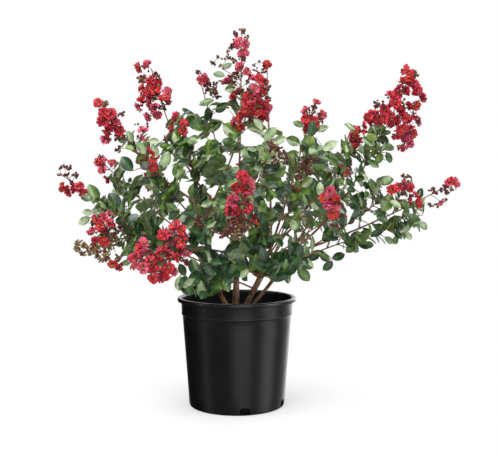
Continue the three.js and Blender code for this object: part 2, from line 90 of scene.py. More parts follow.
# Shoots: name, stem, share of the stem that it leaves at, tip (mm), arch, share that is a bare bough,
# length at the tip without side twigs, length and width of the flower head there (mm).
SHOOTS = [
    ("left_top", "left", 1, (-214, 40, 830), -0.3, 0.36, 130, (128, 84)),
    ("left_high", "left", 0.9, (-313, -60, 707), -0.2, 0.4, 115, (112, 72)),
    ("crown_front", "left", 0.83, (53, -100, 762), -0.1, 0.36, 135, (140, 88)),
    ("left_inner", "left", 0.76, (-122, -120, 672), -0.05, 0, 55, (46, 44)),
    ("left_mid", "left", 0.69, (-205, -160, 591), -0.08, 0, 50, (46, 36)),
    ("left_low", "left", 0.58, (-338, -165, 366), 0.2, 0.34, 110, (112, 112)),
    ("crown_top", "centre", 1, (12, 30, 893), 0.04, 0.42, 130, (118, 70)),
    ("front_buds", "centre", 0.95, (77, -200, 597), -0.06, 0, 40, (38, 44)),
    ("front_mid", "centre", 0.88, (8, -330, 531), 0.16, 0, 100, (92, 54)),
    ("inner_front", "centre", 0.74, (-84, -190, 438), 0.05, 0, 0, (34, 40)),
    ("front_left_low", "centre", 0.6, (-191, -270, 327), 0.22, 0.34, 115, (112, 110)),
    ("front_low", "centre", 0.42, (50, -215, 325), 0.08, 0, 0, None),
    ("right_top", "right", 1, (193, 120, 732), -0.06, 0.4, 70, (80, 72)),
    ("crown_back", "right", 0.88, (73, 100, 823), 0.05, 0.6, 80, (50, 42)),
    ("right_buds", "right", 0.8, (161, -200, 572), -0.06, 0, 40, (42, 46)),
    ("front_right", "right", 0.7, (191, -270, 508), 0.1, 0, 70, (62, 50)),
    ("inner_right", "right", 0.56, (75, -150, 450), 0.05, 0, 0, None),
    ("low_left", "right", 0.34, (-108, -220, 318), 0.12, 0, 0, None),
    ("right_inner", "far_right", 1, (262, -100, 655), -0.05, 0, 60, (52, 50)),
    ("right_high", "far_right", 0.87, (402, -60, 786), -0.24, 0.4, 190, (190, 158)),
    ("right_tip", "far_right", 0.8, (502, -50, 526), -0.05, 0.42, 95, (90, 64)),
    ("right_mid", "far_right", 0.74, (370, -160, 531), -0.07, 0, 80, (78, 72)),
    ("right_leafy", "far_right", 0.66, (412, -105, 440), 0.05, 0, 0, None),
    ("right_low", "far_right", 0.5, (168, -190, 372), 0.06, 0, 0, None),
    ("back_right_top", "back_right", 1, (300, 250, 590), -0.05, 0.36, 85, (70, 56)),
    ("back_right_mid", "back_right", 0.86, (165, 340, 520), 0.05, 0, 75, (70, 56)),
    ("back_right_low", "back_right", 0.7, (275, 150, 455), 0.06, 0, 60, (70, 56)),
    ("back_top", "back", 1, (20, 310, 595), -0.03, 0.36, 85, (70, 56)),
    ("back_high", "back", 0.95, (95, 205, 645), 0.04, 0, 60, (70, 56)),
    ("mid_left", "back", 0.89, (-90, 0, 777), 0.1, 0, 85, (70, 66)),
    ("back_left_mid", "back", 0.8, (-130, 350, 500), 0.1, 0, 75, (70, 56)),
    ("inner_back", "back", 0.6, (20, 240, 400), 0.05, 0, 0, None),
    ("left_upper", "back_left", 1, (-344, 80, 590), -0.08, 0, 60, (54, 50)),
    ("left_tip", "back_left", 0.92, (-408, -50, 547), -0.1, 0.4, 90, (80, 64)),
    ("back_left_top", "back_left", 0.84, (-250, 290, 560), -0.03, 0.36, 75, (70, 56)),
    ("back_left_low", "back_left", 0.74, (-240, 190, 400), 0.06, 0, 0, None),
    ("left_leafy", "back_left", 0.62, (-332, -30, 428), 0.04, 0, 0, None),
]


# The clusters of the heads that face the front: how far right and how high their middle is and their
# radius (mm), share of their flowers that are open, and their red where it isn't crimson.
CLUSTERS = {
    "left_top": (
        (-215, 807, 17, 0.95, "rose"), (-236, 800, 14, 0.6, "rose"), (-229, 774, 14, 0.05),
        (-193, 779, 12, 0.05), (-191, 762, 14, 0.9), (-207, 753, 14, 0.8), (-227, 746, 14, 0.6, "scarlet"),
        (-169, 743, 17, 1, "rose"), (-229, 724, 17, 0.9), (-200, 731, 14, 0.1), (-166, 722, 12, 0.8, "rose"),
        (-200, 703, 17, 0.9, "rose"), (-181, 703, 12, 0.1), (-210, 769, 12, 0.7), (-215, 741, 17, 0.85),
        (-193, 743, 12, 0.8, "scarlet"), (-178, 724, 14, 0.9), (-212, 715, 12, 0.6, "rose"),
        (-193, 688, 12, 0.9, "rose"), (-215, 681, 12, 0.8, "rose"), (-236, 705, 10, 0.6, "rose"),
    ),
    "left_high": (
        (-313, 703, 9, 0.8), (-297, 703, 11, 0.1), (-302, 682, 16, 0.9), (-283, 680, 11, 0.8),
        (-308, 660, 14, 0.9), (-293, 655, 14, 0.9), (-272, 660, 14, 0.85, "rose"), (-293, 637, 14, 0.9),
        (-265, 639, 9, 0.8), (-297, 621, 11, 0.7, "rose"), (-304, 671, 11, 0.9), (-281, 669, 11, 0.9),
        (-281, 649, 11, 0.8), (-272, 624, 9, 0), (-256, 624, 9, 0), (-267, 599, 9, 0), (-261, 678, 9, 0),
    ),
    "left_mid": (
        (-197, 633, 9, 0.9, "rose"), (-199, 616, 11, 0.9, "rose"), (-212, 616, 6, 0.6), (-186, 644, 6, 0),
        (-212, 646, 6, 0.2, "rose"), (-182, 586, 9, 0.6), (-173, 571, 13, 1, "scarlet"), (-177, 554, 11, 0.4),
        (-205, 565, 9, 0.2),
    ),
    "left_inner": (
        (-134, 665, 9, 0.9), (-114, 652, 11, 0.95), (-116, 634, 11, 0.4), (-141, 639, 9, 0.9, "scarlet"),
        (-154, 617, 7, 0),
    ),
    "left_upper": (
        (-333, 578, 12, 0.9, "rose"), (-343, 576, 7, 0.9), (-336, 590, 7, 0), (-308, 573, 12, 0.9, "rose"),
        (-333, 556, 10, 0.9, "rose"), (-321, 534, 7, 0.8),
    ),
    "left_tip": (
        (-404, 558, 7, 0), (-391, 561, 7, 0), (-381, 556, 7, 0), (-404, 540, 7, 0), (-388, 540, 9, 0),
        (-368, 542, 9, 0), (-377, 526, 7, 0), (-398, 513, 11, 0.9), (-386, 504, 14, 0.9),
        (-372, 510, 11, 0.9), (-359, 513, 14, 1, "rose"), (-352, 501, 9, 0.8, "rose"),
    ),
    "left_low": (
        (-269, 454, 9, 0.9, "scarlet"), (-284, 447, 13, 0.95, "rose"), (-301, 443, 13, 0.95),
        (-295, 430, 13, 0.7, "scarlet"), (-310, 417, 13, 0.9, "rose"), (-284, 417, 13, 0.1),
        (-269, 434, 9, 0.3), (-297, 400, 11, 0.9), (-284, 393, 11, 0.9, "scarlet"), (-303, 385, 9, 0.7),
        (-265, 406, 13, 0.05), (-250, 421, 11, 0.05), (-338, 391, 11, 0, "capsules"),
        (-342, 381, 9, 0, "capsules"), (-325, 385, 11, 0, "capsules"), (-329, 370, 9, 0, "capsules"),
        (-312, 374, 11, 0, "capsules"), (-297, 368, 11, 0, "capsules"), (-280, 372, 11, 0.05, "capsules"),
        (-297, 383, 11, 0, "capsules"), (-267, 385, 11, 0, "capsules"), (-256, 396, 11, 0, "capsules"),
        (-278, 359, 13, 0.2, "capsules"), (-290, 355, 11, 0.1, "capsules"), (-265, 346, 11, 0.4, "capsules"),
        (-252, 359, 11, 0.1, "capsules"), (-260, 331, 6, 0.7), (-250, 340, 9, 0.3),
    ),
    "front_left_low": (
        (-121, 434, 12, 1), (-107, 426, 14, 1), (-105, 412, 12, 1), (-144, 412, 14, 1),
        (-130, 418, 10, 0.7, "rose"), (-132, 398, 12, 0.3), (-115, 398, 12, 0.7), (-107, 390, 10, 0.9),
        (-97, 376, 12, 0.6, "rose"), (-115, 371, 14, 0.25), (-132, 376, 12, 0.4), (-97, 361, 8, 0.5),
        (-146, 384, 12, 0.6), (-182, 398, 12, 1, "rose"), (-194, 386, 10, 1), (-182, 380, 12, 1, "rose"),
        (-202, 367, 10, 1, "rose"), (-168, 380, 12, 0.3, "scarlet"), (-188, 363, 12, 0.3),
        (-170, 363, 12, 0.4), (-156, 369, 12, 0.7), (-200, 355, 10, 0.95, "rose"),
        (-186, 347, 12, 0.8, "rose"), (-166, 349, 12, 0.9), (-150, 345, 12, 0.9), (-134, 347, 12, 0.7),
        (-123, 339, 10, 0.5), (-148, 329, 10, 0.9, "rose"), (-164, 327, 8, 0.8),
        (-138, 331, 10, 0.9, "scarlet"),
    ),
    "crown_top": (
        (14, 886, 10, 0), (-3, 876, 10, 0.1), (2, 857, 17, 1, "rose"), (19, 853, 12, 0.9, "rose"),
        (24, 867, 7, 0), (-12, 848, 10, 0), (-22, 839, 7, 0), (17, 829, 14, 0.95, "rose"), (14, 815, 10, 0.2),
        (-22, 824, 10, 0), (-10, 815, 10, 0.1), (7, 799, 12, 0.9, "rose"), (24, 787, 12, 0.9, "rose"),
        (33, 775, 10, 0.9), (0, 784, 14, 0.05), (-12, 775, 12, 0.05), (-10, 761, 10, 0),
        (-26, 761, 17, 1, "rose"), (24, 761, 7, 0.3), (7, 742, 10, 0.1), (-58, 808, 10, 0), (-38, 799, 10, 0),
        (-43, 822, 7, 0), (-7, 730, 14, 1, "scarlet"),
    ),
    "mid_left": (
        (-89, 782, 9, 0), (-84, 763, 14, 0.95, "rose"), (-73, 770, 9, 0.6, "rose"), (-68, 752, 12, 0),
        (-51, 754, 9, 0), (-56, 735, 16, 0), (-42, 726, 9, 0), (-70, 738, 7, 0),
    ),
    "crown_back": (
        (71, 817, 15, 1, "scarlet"), (53, 822, 7, 0), (41, 817, 7, 0.3), (43, 805, 7, 0), (61, 800, 10, 0),
        (51, 795, 7, 0),
    ),
    "crown_front": (
        (51, 751, 13, 0.9), (64, 744, 11, 0.3), (42, 729, 13, 0.95, "rose"), (58, 722, 13, 0.7),
        (71, 731, 9, 0), (27, 724, 9, 0.3), (71, 709, 9, 0), (24, 711, 11, 1, "scarlet"), (20, 696, 13, 1),
        (35, 698, 13, 1, "rose"), (55, 698, 13, 0.9), (69, 685, 13, 0.95, "rose"), (53, 676, 16, 0.95),
        (67, 669, 11, 0.9, "rose"), (53, 660, 11, 0.9), (67, 698, 11, 0.8), (44, 711, 13, 0.8, "rose"),
        (35, 680, 13, 0.7), (15, 678, 13, 0.9), (7, 663, 11, 0.95), (9, 645, 11, 0.9), (31, 663, 11, 0.3),
        (-7, 656, 9, 0.6, "rose"),
    ),
    "right_top": (
        (169, 707, 13, 0.8, "rose"), (197, 727, 10, 0.5, "rose"), (192, 712, 10, 0),
        (212, 697, 13, 0.8, "rose"), (182, 697, 13, 0.4), (169, 685, 15, 0.95), (192, 680, 15, 0.95),
        (174, 662, 15, 0.9), (194, 662, 13, 0.6), (209, 680, 10, 0.2),
    ),
    "right_high": (
        (382, 777, 11, 0.95), (398, 768, 11, 0.2), (409, 763, 9, 0), (382, 752, 16, 0.95),
        (400, 745, 14, 0.9), (407, 730, 14, 0.95), (421, 716, 9, 0.9, "rose"), (366, 736, 11, 0.4),
        (350, 721, 14, 0.95), (359, 703, 16, 0.95), (343, 694, 11, 0.8), (409, 698, 14, 0.95, "scarlet"),
        (393, 696, 11, 0.8), (380, 700, 11, 0.3), (348, 676, 14, 0.95, "scarlet"), (334, 669, 14, 0.95),
        (352, 655, 16, 0.95), (311, 680, 14, 0.95), (320, 667, 14, 0.95), (298, 671, 11, 0.9),
        (316, 700, 11, 0), (329, 700, 9, 0), (384, 730, 16, 0.95), (368, 714, 14, 0.9), (373, 682, 14, 0.9),
        (336, 687, 11, 0.9), (307, 662, 14, 0.9), (364, 664, 11, 0.8), (393, 768, 11, 0.8),
        (393, 757, 11, 0.9), (386, 669, 16, 0.9), (402, 671, 11, 0.7), (412, 660, 9, 0.4, "rose"),
        (375, 644, 16, 0.95), (393, 646, 14, 0.9), (364, 628, 14, 0.95), (382, 626, 14, 0.95, "rose"),
        (400, 633, 11, 0.1), (377, 603, 14, 0.8), (393, 612, 9, 0.8, "rose"),
    ),
    "right_inner": (
        (267, 638, 13, 1, "scarlet"), (283, 636, 13, 0.95), (258, 623, 11, 0.95, "rose"), (271, 618, 11, 0.9),
        (263, 607, 9, 0.9), (285, 649, 9, 0.8),
    ),
    "right_mid": (
        (360, 533, 6, 0), (371, 533, 6, 0), (364, 518, 13, 0.5), (349, 511, 11, 0.8),
        (336, 505, 9, 1, "scarlet"), (373, 511, 13, 0.7), (360, 499, 11, 0.3), (375, 486, 13, 0.8),
        (390, 492, 13, 0.9), (394, 477, 11, 1, "scarlet"), (381, 471, 9, 0.6, "rose"), (353, 481, 6, 0),
    ),
    "right_tip": (
        (448, 506, 9, 0), (457, 499, 7, 0), (469, 508, 7, 0), (480, 513, 9, 0.1), (489, 524, 9, 1),
        (501, 522, 7, 0.9, "rose"), (492, 508, 7, 0), (482, 501, 9, 0), (469, 478, 9, 0.8, "rose"),
        (478, 483, 7, 0.6, "rose"), (443, 472, 7, 0), (457, 469, 9, 0),
    ),
    "right_buds": (
        (159, 565, 13, 0.1), (144, 557, 13, 0.1), (136, 544, 10, 0), (153, 544, 10, 0), (134, 530, 10, 0.2),
        (113, 526, 8, 0.2),
    ),
    "front_buds": (
        (79, 594, 13, 0), (94, 590, 8, 0), (102, 578, 13, 0), (86, 565, 13, 0), (113, 571, 8, 0),
        (104, 561, 8, 0),
    ),
    "front_right": (
        (192, 500, 12, 1, "rose"), (181, 486, 12, 1, "scarlet"), (200, 486, 12, 1),
        (188, 476, 10, 0.95, "rose"), (200, 468, 10, 1, "rose"), (198, 456, 8, 0.9, "scarlet"),
    ),
    "front_mid": (
        (19, 529, 14, 1), (6, 509, 10, 1), (21, 509, 12, 1), (33, 515, 10, 1, "rose"), (27, 498, 12, 1),
        (-2, 488, 12, 1, "rose"), (-4, 475, 12, 1, "rose"), (12, 479, 10, 0.3), (27, 467, 12, 1),
        (23, 482, 10, 0.3), (4, 461, 14, 0.7), (-10, 463, 8, 0.4), (14, 450, 10, 0.1), (-17, 426, 10, 0),
        (-2, 425, 12, 0), (12, 432, 12, 0.05), (-11, 438, 10, 0.05), (4, 442, 10, 0.1), (27, 432, 10, 0),
        (-23, 417, 8, 0), (12, 419, 10, 0), (25, 444, 10, 0.05), (39, 444, 6, 0.5),
    ),
}

# Where the plant is seen from at the front.
FRONT = np.array([31.0, -1819.0, 491.0]) * MM
# Where the crown is open, seen from the front: middle, half width and half height (mm).
OPENINGS = np.array([
    (342, 558, 35, 19), (-233, 670, 21, 26), (-188, 652, 19, 28), (-311, 516, 19, 14), (33, 628, 28, 14),
    (-292, 600, 14, 16), (-30, 682, 31, 16), (-42, 640, 26, 14), (-59, 777, 19, 21), (-358, 403, 19, 24),
    (318, 429, 19, 12), (144, 645, 26, 16), (128, 609, 24, 12), (373, 457, 14, 9), (-162, 689, 14, 19),
    (205, 633, 14, 16), (-358, 473, 21, 16), (83, 277, 38, 14), (-103, 647, 19, 14), (189, 327, 21, 14),
    (10, 754, 16, 16), (69, 656, 14, 16), (231, 360, 24, 9), (-256, 591, 19, 9), (-92, 696, 16, 12),
    (450, 459, 9, 9), (50, 532, 14, 12), (323, 471, 14, 14), (-216, 502, 14, 12), (139, 301, 14, 12),
    (-278, 492, 12, 12), (-235, 553, 14, 14), (-28, 724, 12, 14), (422, 412, 7, 9), (-40, 360, 12, 12),
    (271, 412, 12, 12), (236, 612, 12, 12), (196, 377, 9, 12), (3, 577, 9, 14), (-115, 310, 12, 14),
    (-254, 546, 12, 9), (-96, 346, 12, 12), (356, 398, 16, 9), (-16, 588, 9, 14), (-125, 471, 14, 9),
    (-155, 542, 14, 7), (36, 301, 9, 14), (-47, 405, 12, 14), (-82, 616, 9, 9), (-117, 518, 12, 7),
    (283, 509, 12, 7), (182, 407, 14, 12), (-35, 388, 21, 12), (97, 417, 14, 14), (19, 405, 9, 14),
    (118, 455, 16, 7), (-59, 502, 14, 12), (111, 728, 47, 75), (-70, 726, 14, 12), (-259, 740, 26, 71),
    (-122, 752, 33, 57), (-381, 440, 24, 33), (271, 332, 42, 19), (337, 353, 47, 19), (394, 372, 28, 14),
    (125, 694, 35, 38), (255, 745, 52, 71), (479, 553, 38, 33), (467, 424, 28, 19), (479, 377, 71, 33),
    (-186, 265, 33, 16), (-129, 246, 24, 14), (-346, 313, 33, 19), (-275, 298, 38, 19), (-405, 447, 24, 28),
    (396, 565, 38, 19), (-393, 400, 19, 14), (241, 633, 14, 9), (427, 525, 16, 12), (457, 499, 16, 16),
    (328, 327, 12, 12), (43, 824, 16, 24), (149, 275, 28, 9), (184, 301, 12, 21), (-341, 539, 21, 12),
    (479, 445, 28, 14), (-125, 241, 31, 12), (130, 279, 12, 12), (-341, 595, 16, 14), (455, 388, 19, 9),
    (262, 358, 16, 7), (-35, 251, 31, 14), (15, 270, 33, 21), (59, 287, 19, 16),
]) * MM

# Ends of further leafy twigs near the outside of the crown, each grown from the nearest shoot (mm).
TWIG_ENDS = np.array([
    (-252, -26, 469), (-257, -26, 455), (-55, -74, 512), (-63, -86, 501), (133, -206, 596), (286, -122, 621),
    (313, -92, 621), (299, -92, 606), (268, -122, 593), (67, -80, 656), (20, -98, 599), (-9, -104, 664),
    (-18, -86, 686), (0, -104, 612), (-14, -98, 594), (93, -212, 319), (-33, -164, 350), (-17, -122, 360),
    (-25, -146, 388), (293, -158, 509), (301, -164, 458), (-245, -86, 644), (-133, -152, 651),
    (-121, -140, 611), (-318, 40, 559), (-251, 40, 516), (282, -92, 537), (293, -164, 505), (281, -158, 488),
    (254, -134, 483), (293, -164, 458), (369, -134, 448), (424, -134, 455), (295, -146, 427),
    (239, -128, 396), (333, -92, 595), (290, -92, 595), (-101, -230, 356), (-42, -200, 309), (-38, -146, 364),
    (-23, -146, 349), (-50, -164, 381), (-9, -110, 372), (-212, -188, 557), (-301, 40, 543), (-287, 40, 531),
    (-302, -44, 494), (-334, -56, 472), (93, -218, 313), (76, -242, 320), (127, -200, 353), (107, -152, 336),
    (-34, -14, 664), (-51, -8, 693), (-110, -140, 613), (31, -110, 642), (56, -230, 597), (136, -200, 609),
    (157, -200, 619), (172, -218, 597), (-249, -92, 635), (-18, -98, 650), (10, -176, 537), (74, -170, 505),
    (56, -182, 462), (190, 45, 520), (170, 95, 565), (140, -5, 530), (125, 95, 600), (70, 115, 560),
    (215, 90, 560), (110, 60, 480), (165, 60, 450), (230, 60, 470), (35, 105, 520), (-120, 170, 470),
    (-60, 240, 450), (150, 200, 440), (52, 125, 745), (48, 120, 705), (60, 130, 670), (40, 92, 722),
    (215, 35, 440), (180, 20, 400), (250, 70, 520), (-141, -60, 541), (-155, -95, 525), (18, -140, 322),
    (-262, -140, 378), (-150, -150, 498), (-172, -140, 470), (-128, -165, 462), (-195, -150, 500),
]) * MM

# Leaves that stand out at the rim of the crown: foot, tip (mm) and number of the shade.
RIM_LEAVES = [
    (-54, 4, 717, -92, 8, 711, 1), (-66, 10, 669, -68, -3, 700, 0), (-82, 34, 647, -118, 38, 691, 1),
    (-69, 22, 646, -35, 10, 671, 0), (-50, 10, 690, -23, 1, 710, 0), (9, -92, 623, -30, -89, 653, 3),
    (-21, -2, 712, 5, 3, 706, 0), (60, -206, 609, 85, -217, 634, 2), (79, -218, 602, 105, -227, 613, 2),
    (153, 58, 618, 118, 47, 632, 1), (-39, 34, 609, -69, 26, 623, 3), (0, -86, 606, -31, -98, 616, 1),
    (26, -38, 598, 61, -41, 593, 1), (40, -98, 663, 60, -103, 640, 4), (-35, 10, 791, -12, 11, 805, 0),
    (-28, 4, 773, -57, 8, 783, 1), (-28, -2, 740, -2, -7, 746, 1), (-110, -122, 606, -78, -134, 620, 1),
    (161, 70, 660, 136, 71, 675, 1), (194, 82, 651, 222, 72, 663, 1), (184, -200, 588, 212, -213, 606, 4),
    (258, -104, 587, 233, -102, 614, 1), (335, -80, 647, 293, -93, 634, 0), (322, -80, 609, 304, -89, 588, 3),
    (327, -74, 589, 316, -84, 564, 3), (342, -56, 592, 352, -59, 567, 1), (305, -140, 527, 344, -140, 527, 2),
    (295, -80, 573, 319, -93, 557, 1), (-246, -68, 639, -234, -69, 614, 2),
    (-216, -176, 590, -236, -171, 600, 3), (-222, -152, 546, -248, -151, 578, 0),
    (-290, 58, 536, -278, 46, 567, 4), (-253, 58, 507, -292, 58, 529, 2), (-266, 58, 502, -306, 55, 504, 2),
    (-256, 58, 495, -279, 50, 492, 0), (-281, 34, 461, -308, 37, 502, 0), (-297, 28, 459, -327, 23, 483, 3),
    (-320, -38, 476, -341, -35, 520, 1), (-332, -44, 483, -359, -48, 492, 1),
    (-306, -26, 460, -337, -33, 457, 2), (-342, -20, 443, -367, -32, 427, 4),
    (-332, -32, 453, -357, -38, 455, 4), (-186, -158, 610, -163, -158, 610, 4),
    (-157, -2, 612, -184, 3, 610, 3), (-168, -152, 576, -180, -156, 604, 2),
    (-155, -146, 553, -146, -153, 589, 2), (-190, -182, 581, -207, -193, 607, 2),
    (-204, -140, 533, -184, -140, 520, 0), (-251, 58, 516, -232, 60, 543, 3),
    (380, -116, 452, 408, -116, 426, 1), (403, -128, 437, 416, -140, 418, 2),
    (341, -62, 417, 374, -63, 447, 1), (362, -116, 415, 389, -112, 430, 2),
    (375, -116, 413, 386, -127, 396, 4), (351, -116, 415, 364, -128, 398, 0),
    (354, -110, 404, 354, -110, 384, 1), (337, -68, 399, 357, -73, 384, 4),
    (336, -110, 435, 310, -112, 452, 2), (341, -62, 415, 312, -67, 426, 1),
    (317, -146, 460, 340, -149, 496, 3), (331, -164, 481, 356, -159, 468, 2),
    (218, -62, 349, 250, -58, 360, 0), (177, -206, 371, 198, -210, 356, 0), (220, -62, 342, 196, -71, 324, 0),
    (134, -158, 337, 160, -162, 309, 1), (139, -182, 354, 167, -177, 339, 1),
    (110, -122, 325, 117, -124, 298, 0), (130, -164, 346, 113, -161, 322, 0),
    (268, -92, 382, 245, -98, 367, 1), (255, -92, 398, 279, -96, 410, 0), (273, -92, 385, 304, -104, 381, 0),
    (265, -98, 387, 297, -111, 415, 1), (328, -110, 415, 297, -105, 403, 0),
    (-113, -236, 328, -117, -233, 294, 1), (-84, -230, 321, -106, -243, 304, 2),
    (-73, -218, 317, -71, -219, 280, 2), (-94, -188, 359, -80, -199, 324, 0),
    (-67, -206, 325, -57, -203, 366, 0), (-116, -218, 351, -103, -226, 327, 0),
]

# ---- Growth: the part's rule ----

# How twigs with a listed end grow: the stretch of the shoots that they leave, how far back from the
# nearest place and how high their bend is.
END_TWIG = SimpleNamespace(low=0.25, high=0.97, steps=60, back=0.6, lowest=0.15, bend=0.1)
# How the listed clusters of a head are set in depth. Where the head points to the front it is drawn
# short. There are clusters on both sides of the middle where the head is deep.
DEPTH = SimpleNamespace(
    longer=1.25, lowest=0.3, steps=24, plain_radius=0.36, shorter=0.75, of_width=0.75, least=24 * MM,
    spread=5 * MM, both_sides=12 * MM, middle=0.62, vary=0.38, plain_step=5, heading_at=0.9,
)


def chance(*keys):
    """A repeatable number from 0 to 1 for each set of whole numbers."""
    strides = (12.9898, 78.233, 37.719, 94.673)
    mixed = SEED
    for key, stride in zip(keys, strides):
        mixed += (key + 1) * stride
    wave = math.sin(mixed) * 43758.5453
    return wave - math.floor(wave)


def about(middle, spread, *keys):
    return middle + spread * (2 * chance(*keys) - 1)


def between(low, high, share):
    return low + (high - low) * share


def either_way(rng, most, size=None):
    return rng.uniform(-most, most, size)


def unit(direction):
    return direction / np.linalg.norm(direction)


def sideways(ahead):
    """A level direction square to the one given."""
    side = np.array([ahead[1], -ahead[0], 0.0])
    return unit(side) if np.linalg.norm(side) > 0.05 else np.array([1.0, 0.0, 0.0])


def turned(ahead, degrees):
    """The direction square to `ahead` that is turned from sideways by an angle."""
    side = sideways(ahead)
    other = unit(np.cross(ahead, side))
    angle = math.radians(degrees)
    return side * math.cos(angle) + other * math.sin(angle)


def leaning(ahead, outward, degrees):
    angle = math.radians(degrees)
    return ahead * math.cos(angle) + outward * math.sin(angle)


def point_at(curve, share):
    start, pull, end = curve
    rest = 1 - share
    return rest * rest * start + 2 * rest * share * pull + share * share * end


def heading_at(curve, share):
    start, pull, end = curve
    return unit((pull - start) * (1 - share) + (end - pull) * share)


def stretch(curve, first, last, steps):
    return np.array([point_at(curve, first + (last - first) * i / steps) for i in range(steps + 1)])


def distances(points, starts, ends):
    """The distance of each point from each straight piece of line."""
    along = ends - starts
    offset = points[:, None, :] - starts[None]
    share = np.clip((offset * along).sum(2) / (along**2).sum(1), 0, 1)
    return np.linalg.norm(offset - share[..., None] * along, axis=2)


def pieces_of(lines):
    return np.concatenate([line[:-1] for line in lines]), np.concatenate([line[1:] for line in lines])


def in_opening(points):
    """Whether any of the points is seen in an opening of the crown."""
    away = points - FRONT
    seen = FRONT + away * (-FRONT[1] / away[:, 1:2])
    offset = (seen[:, None, (0, 2)] - OPENINGS[None, :, :2]) / OPENINGS[None, :, 2:]
    return bool(((offset**2).sum(2) < 1).any())


def grow_stems():
    curves = {}
    for name, turn, pull, tip in STEMS:
        angle = math.radians(turn)
        foot = np.array([STEM.ring * math.cos(angle), STEM.ring * math.sin(angle), SOIL_TOP + GAP])
        curves[name] = (foot, np.array(pull) * MM, np.array(tip) * MM)
    return curves


def place_clusters(shoot):
    """The listed clusters of a head at their depth, and the ones behind them: place, radius, open share, red.

    A head without a list is given its line, as clusters that only keep the leaves away."""
    length, width = shoot.blossom[0] * MM, shoot.blossom[1] * MM
    reach = np.linalg.norm(shoot.curve[2] - shoot.curve[0])
    first = max(1 - DEPTH.longer * length / reach, DEPTH.lowest)
    line = stretch(shoot.curve, first, 1, DEPTH.steps)
    if not shoot.listed:
        plain = line[DEPTH.plain_step::DEPTH.plain_step]
        return [(point, width * DEPTH.plain_radius, None, None) for point in plain]
    placed = []
    for i, (x, z, radius, is_open, *red) in enumerate(CLUSTERS[shoot.name]):
        seen = np.array([x * MM, shoot.curve[2][1], z * MM])
        offset = np.linalg.norm((line - seen)[:, (0, 2)], axis=1)
        sight = (seen - FRONT) / (seen - FRONT)[1]
        middle = seen[1] + (line[offset.argmin()][1] - seen[1]) * shoot.drawn_out
        depth = math.sqrt(max((width / 2) ** 2 - offset.min() ** 2, 0)) * DEPTH.of_width
        depth = max(depth, DEPTH.least * (1 - shoot.drawn_out))
        depth += about(0, DEPTH.spread, shoot.number, i, 3)
        for side in (-1, 1) if depth > DEPTH.both_sides else (0,):
            y = middle + side * depth * about(DEPTH.middle, DEPTH.vary, shoot.number, i, side + 5)
            placed.append((FRONT + sight * (y - FRONT[1]), radius * MM, is_open, red[0] if red else REDS[0]))
    return placed


def grow_shoots(stems):
    shoots = []
    for number, (name, stem, first, tip, arch, bare, tip_length, blossom) in enumerate(SHOOTS):
        start = point_at(stems[stem], first)
        end = np.array(tip) * MM
        length = np.linalg.norm(end - start)
        curve = (start, (start + end) / 2 + UP * arch * length, end)
        shoot = SimpleNamespace(
            name=name, stem=stem, number=number, first=first, curve=curve, length=length, bare=bare,
            blossom=blossom, listed=name in CLUSTERS, to_front=heading_at(curve, DEPTH.heading_at)[1], twigs=[],
        )
        shoot.lines = [stretch(curve, bare + GAP / length if bare else 0, 1, AXIS.steps)]
        shoot.leafy_from = max(bare + BOUGH.to_leaves, TWIG.first_at)
        shoot.leafy_to = 1 - tip_length * MM / length
        shoot.drawn_out = 1 - DEPTH.shorter * shoot.to_front**2 if shoot.listed else 1
        shoot.clusters = place_clusters(shoot) if blossom else []
        shoots.append(shoot)
    return shoots


def twig_curves(shoot, twig, count):
    along = (twig + 0.5) / count
    share = between(shoot.leafy_from, shoot.leafy_to, along)
    root = point_at(shoot.curve, share)
    ahead = heading_at(shoot.curve, share)
    turn = GOLDEN * twig + SHOOT_TURN * shoot.number
    outward = turned(ahead, about(turn, TWIG.turn_spread, shoot.number, twig, 0, 1))
    heading = leaning(ahead, outward, about(TWIG.lean, TWIG.lean_spread, shoot.number, twig, 0, 2))
    heading = unit(heading + UP * TWIG.rise)
    length = between(TWIG.longest, TWIG.shortest, along)
    length *= about(1, TWIG.length_spread, shoot.number, twig, 0, 3)
    for part in TWIG.shorter:
        end = root + heading * length * part
        yield root, (root + end) / 2, end


def grow_end_twigs(shoots):
    """A twig from the nearest shoot to each listed end and to the foot of each listed leaf."""
    lines = np.concatenate([stretch(s.curve, END_TWIG.low, END_TWIG.high, END_TWIG.steps) for s in shoots])
    ends = [(end, None) for end in TWIG_ENDS]
    for leaf in RIM_LEAVES:
        foot, tip = np.array(leaf[:3]) * MM, np.array(leaf[3:6]) * MM
        ends.append((foot, (foot, tip, leaf[6])))
    for end, leaf in ends:
        gaps = np.linalg.norm(lines - end, axis=1)
        number, step = divmod(int(gaps.argmin()), END_TWIG.steps + 1)
        shoot = shoots[number]
        share = END_TWIG.low + (END_TWIG.high - END_TWIG.low) * step / END_TWIG.steps
        share -= END_TWIG.back * gaps.min() / shoot.length
        root = point_at(shoot.curve, max(share, END_TWIG.lowest))
        bend = (root + end) / 2 + UP * END_TWIG.bend * np.linalg.norm(end - root)
        shoot.twigs.append(SimpleNamespace(curve=(root, bend, end), leaf=leaf))


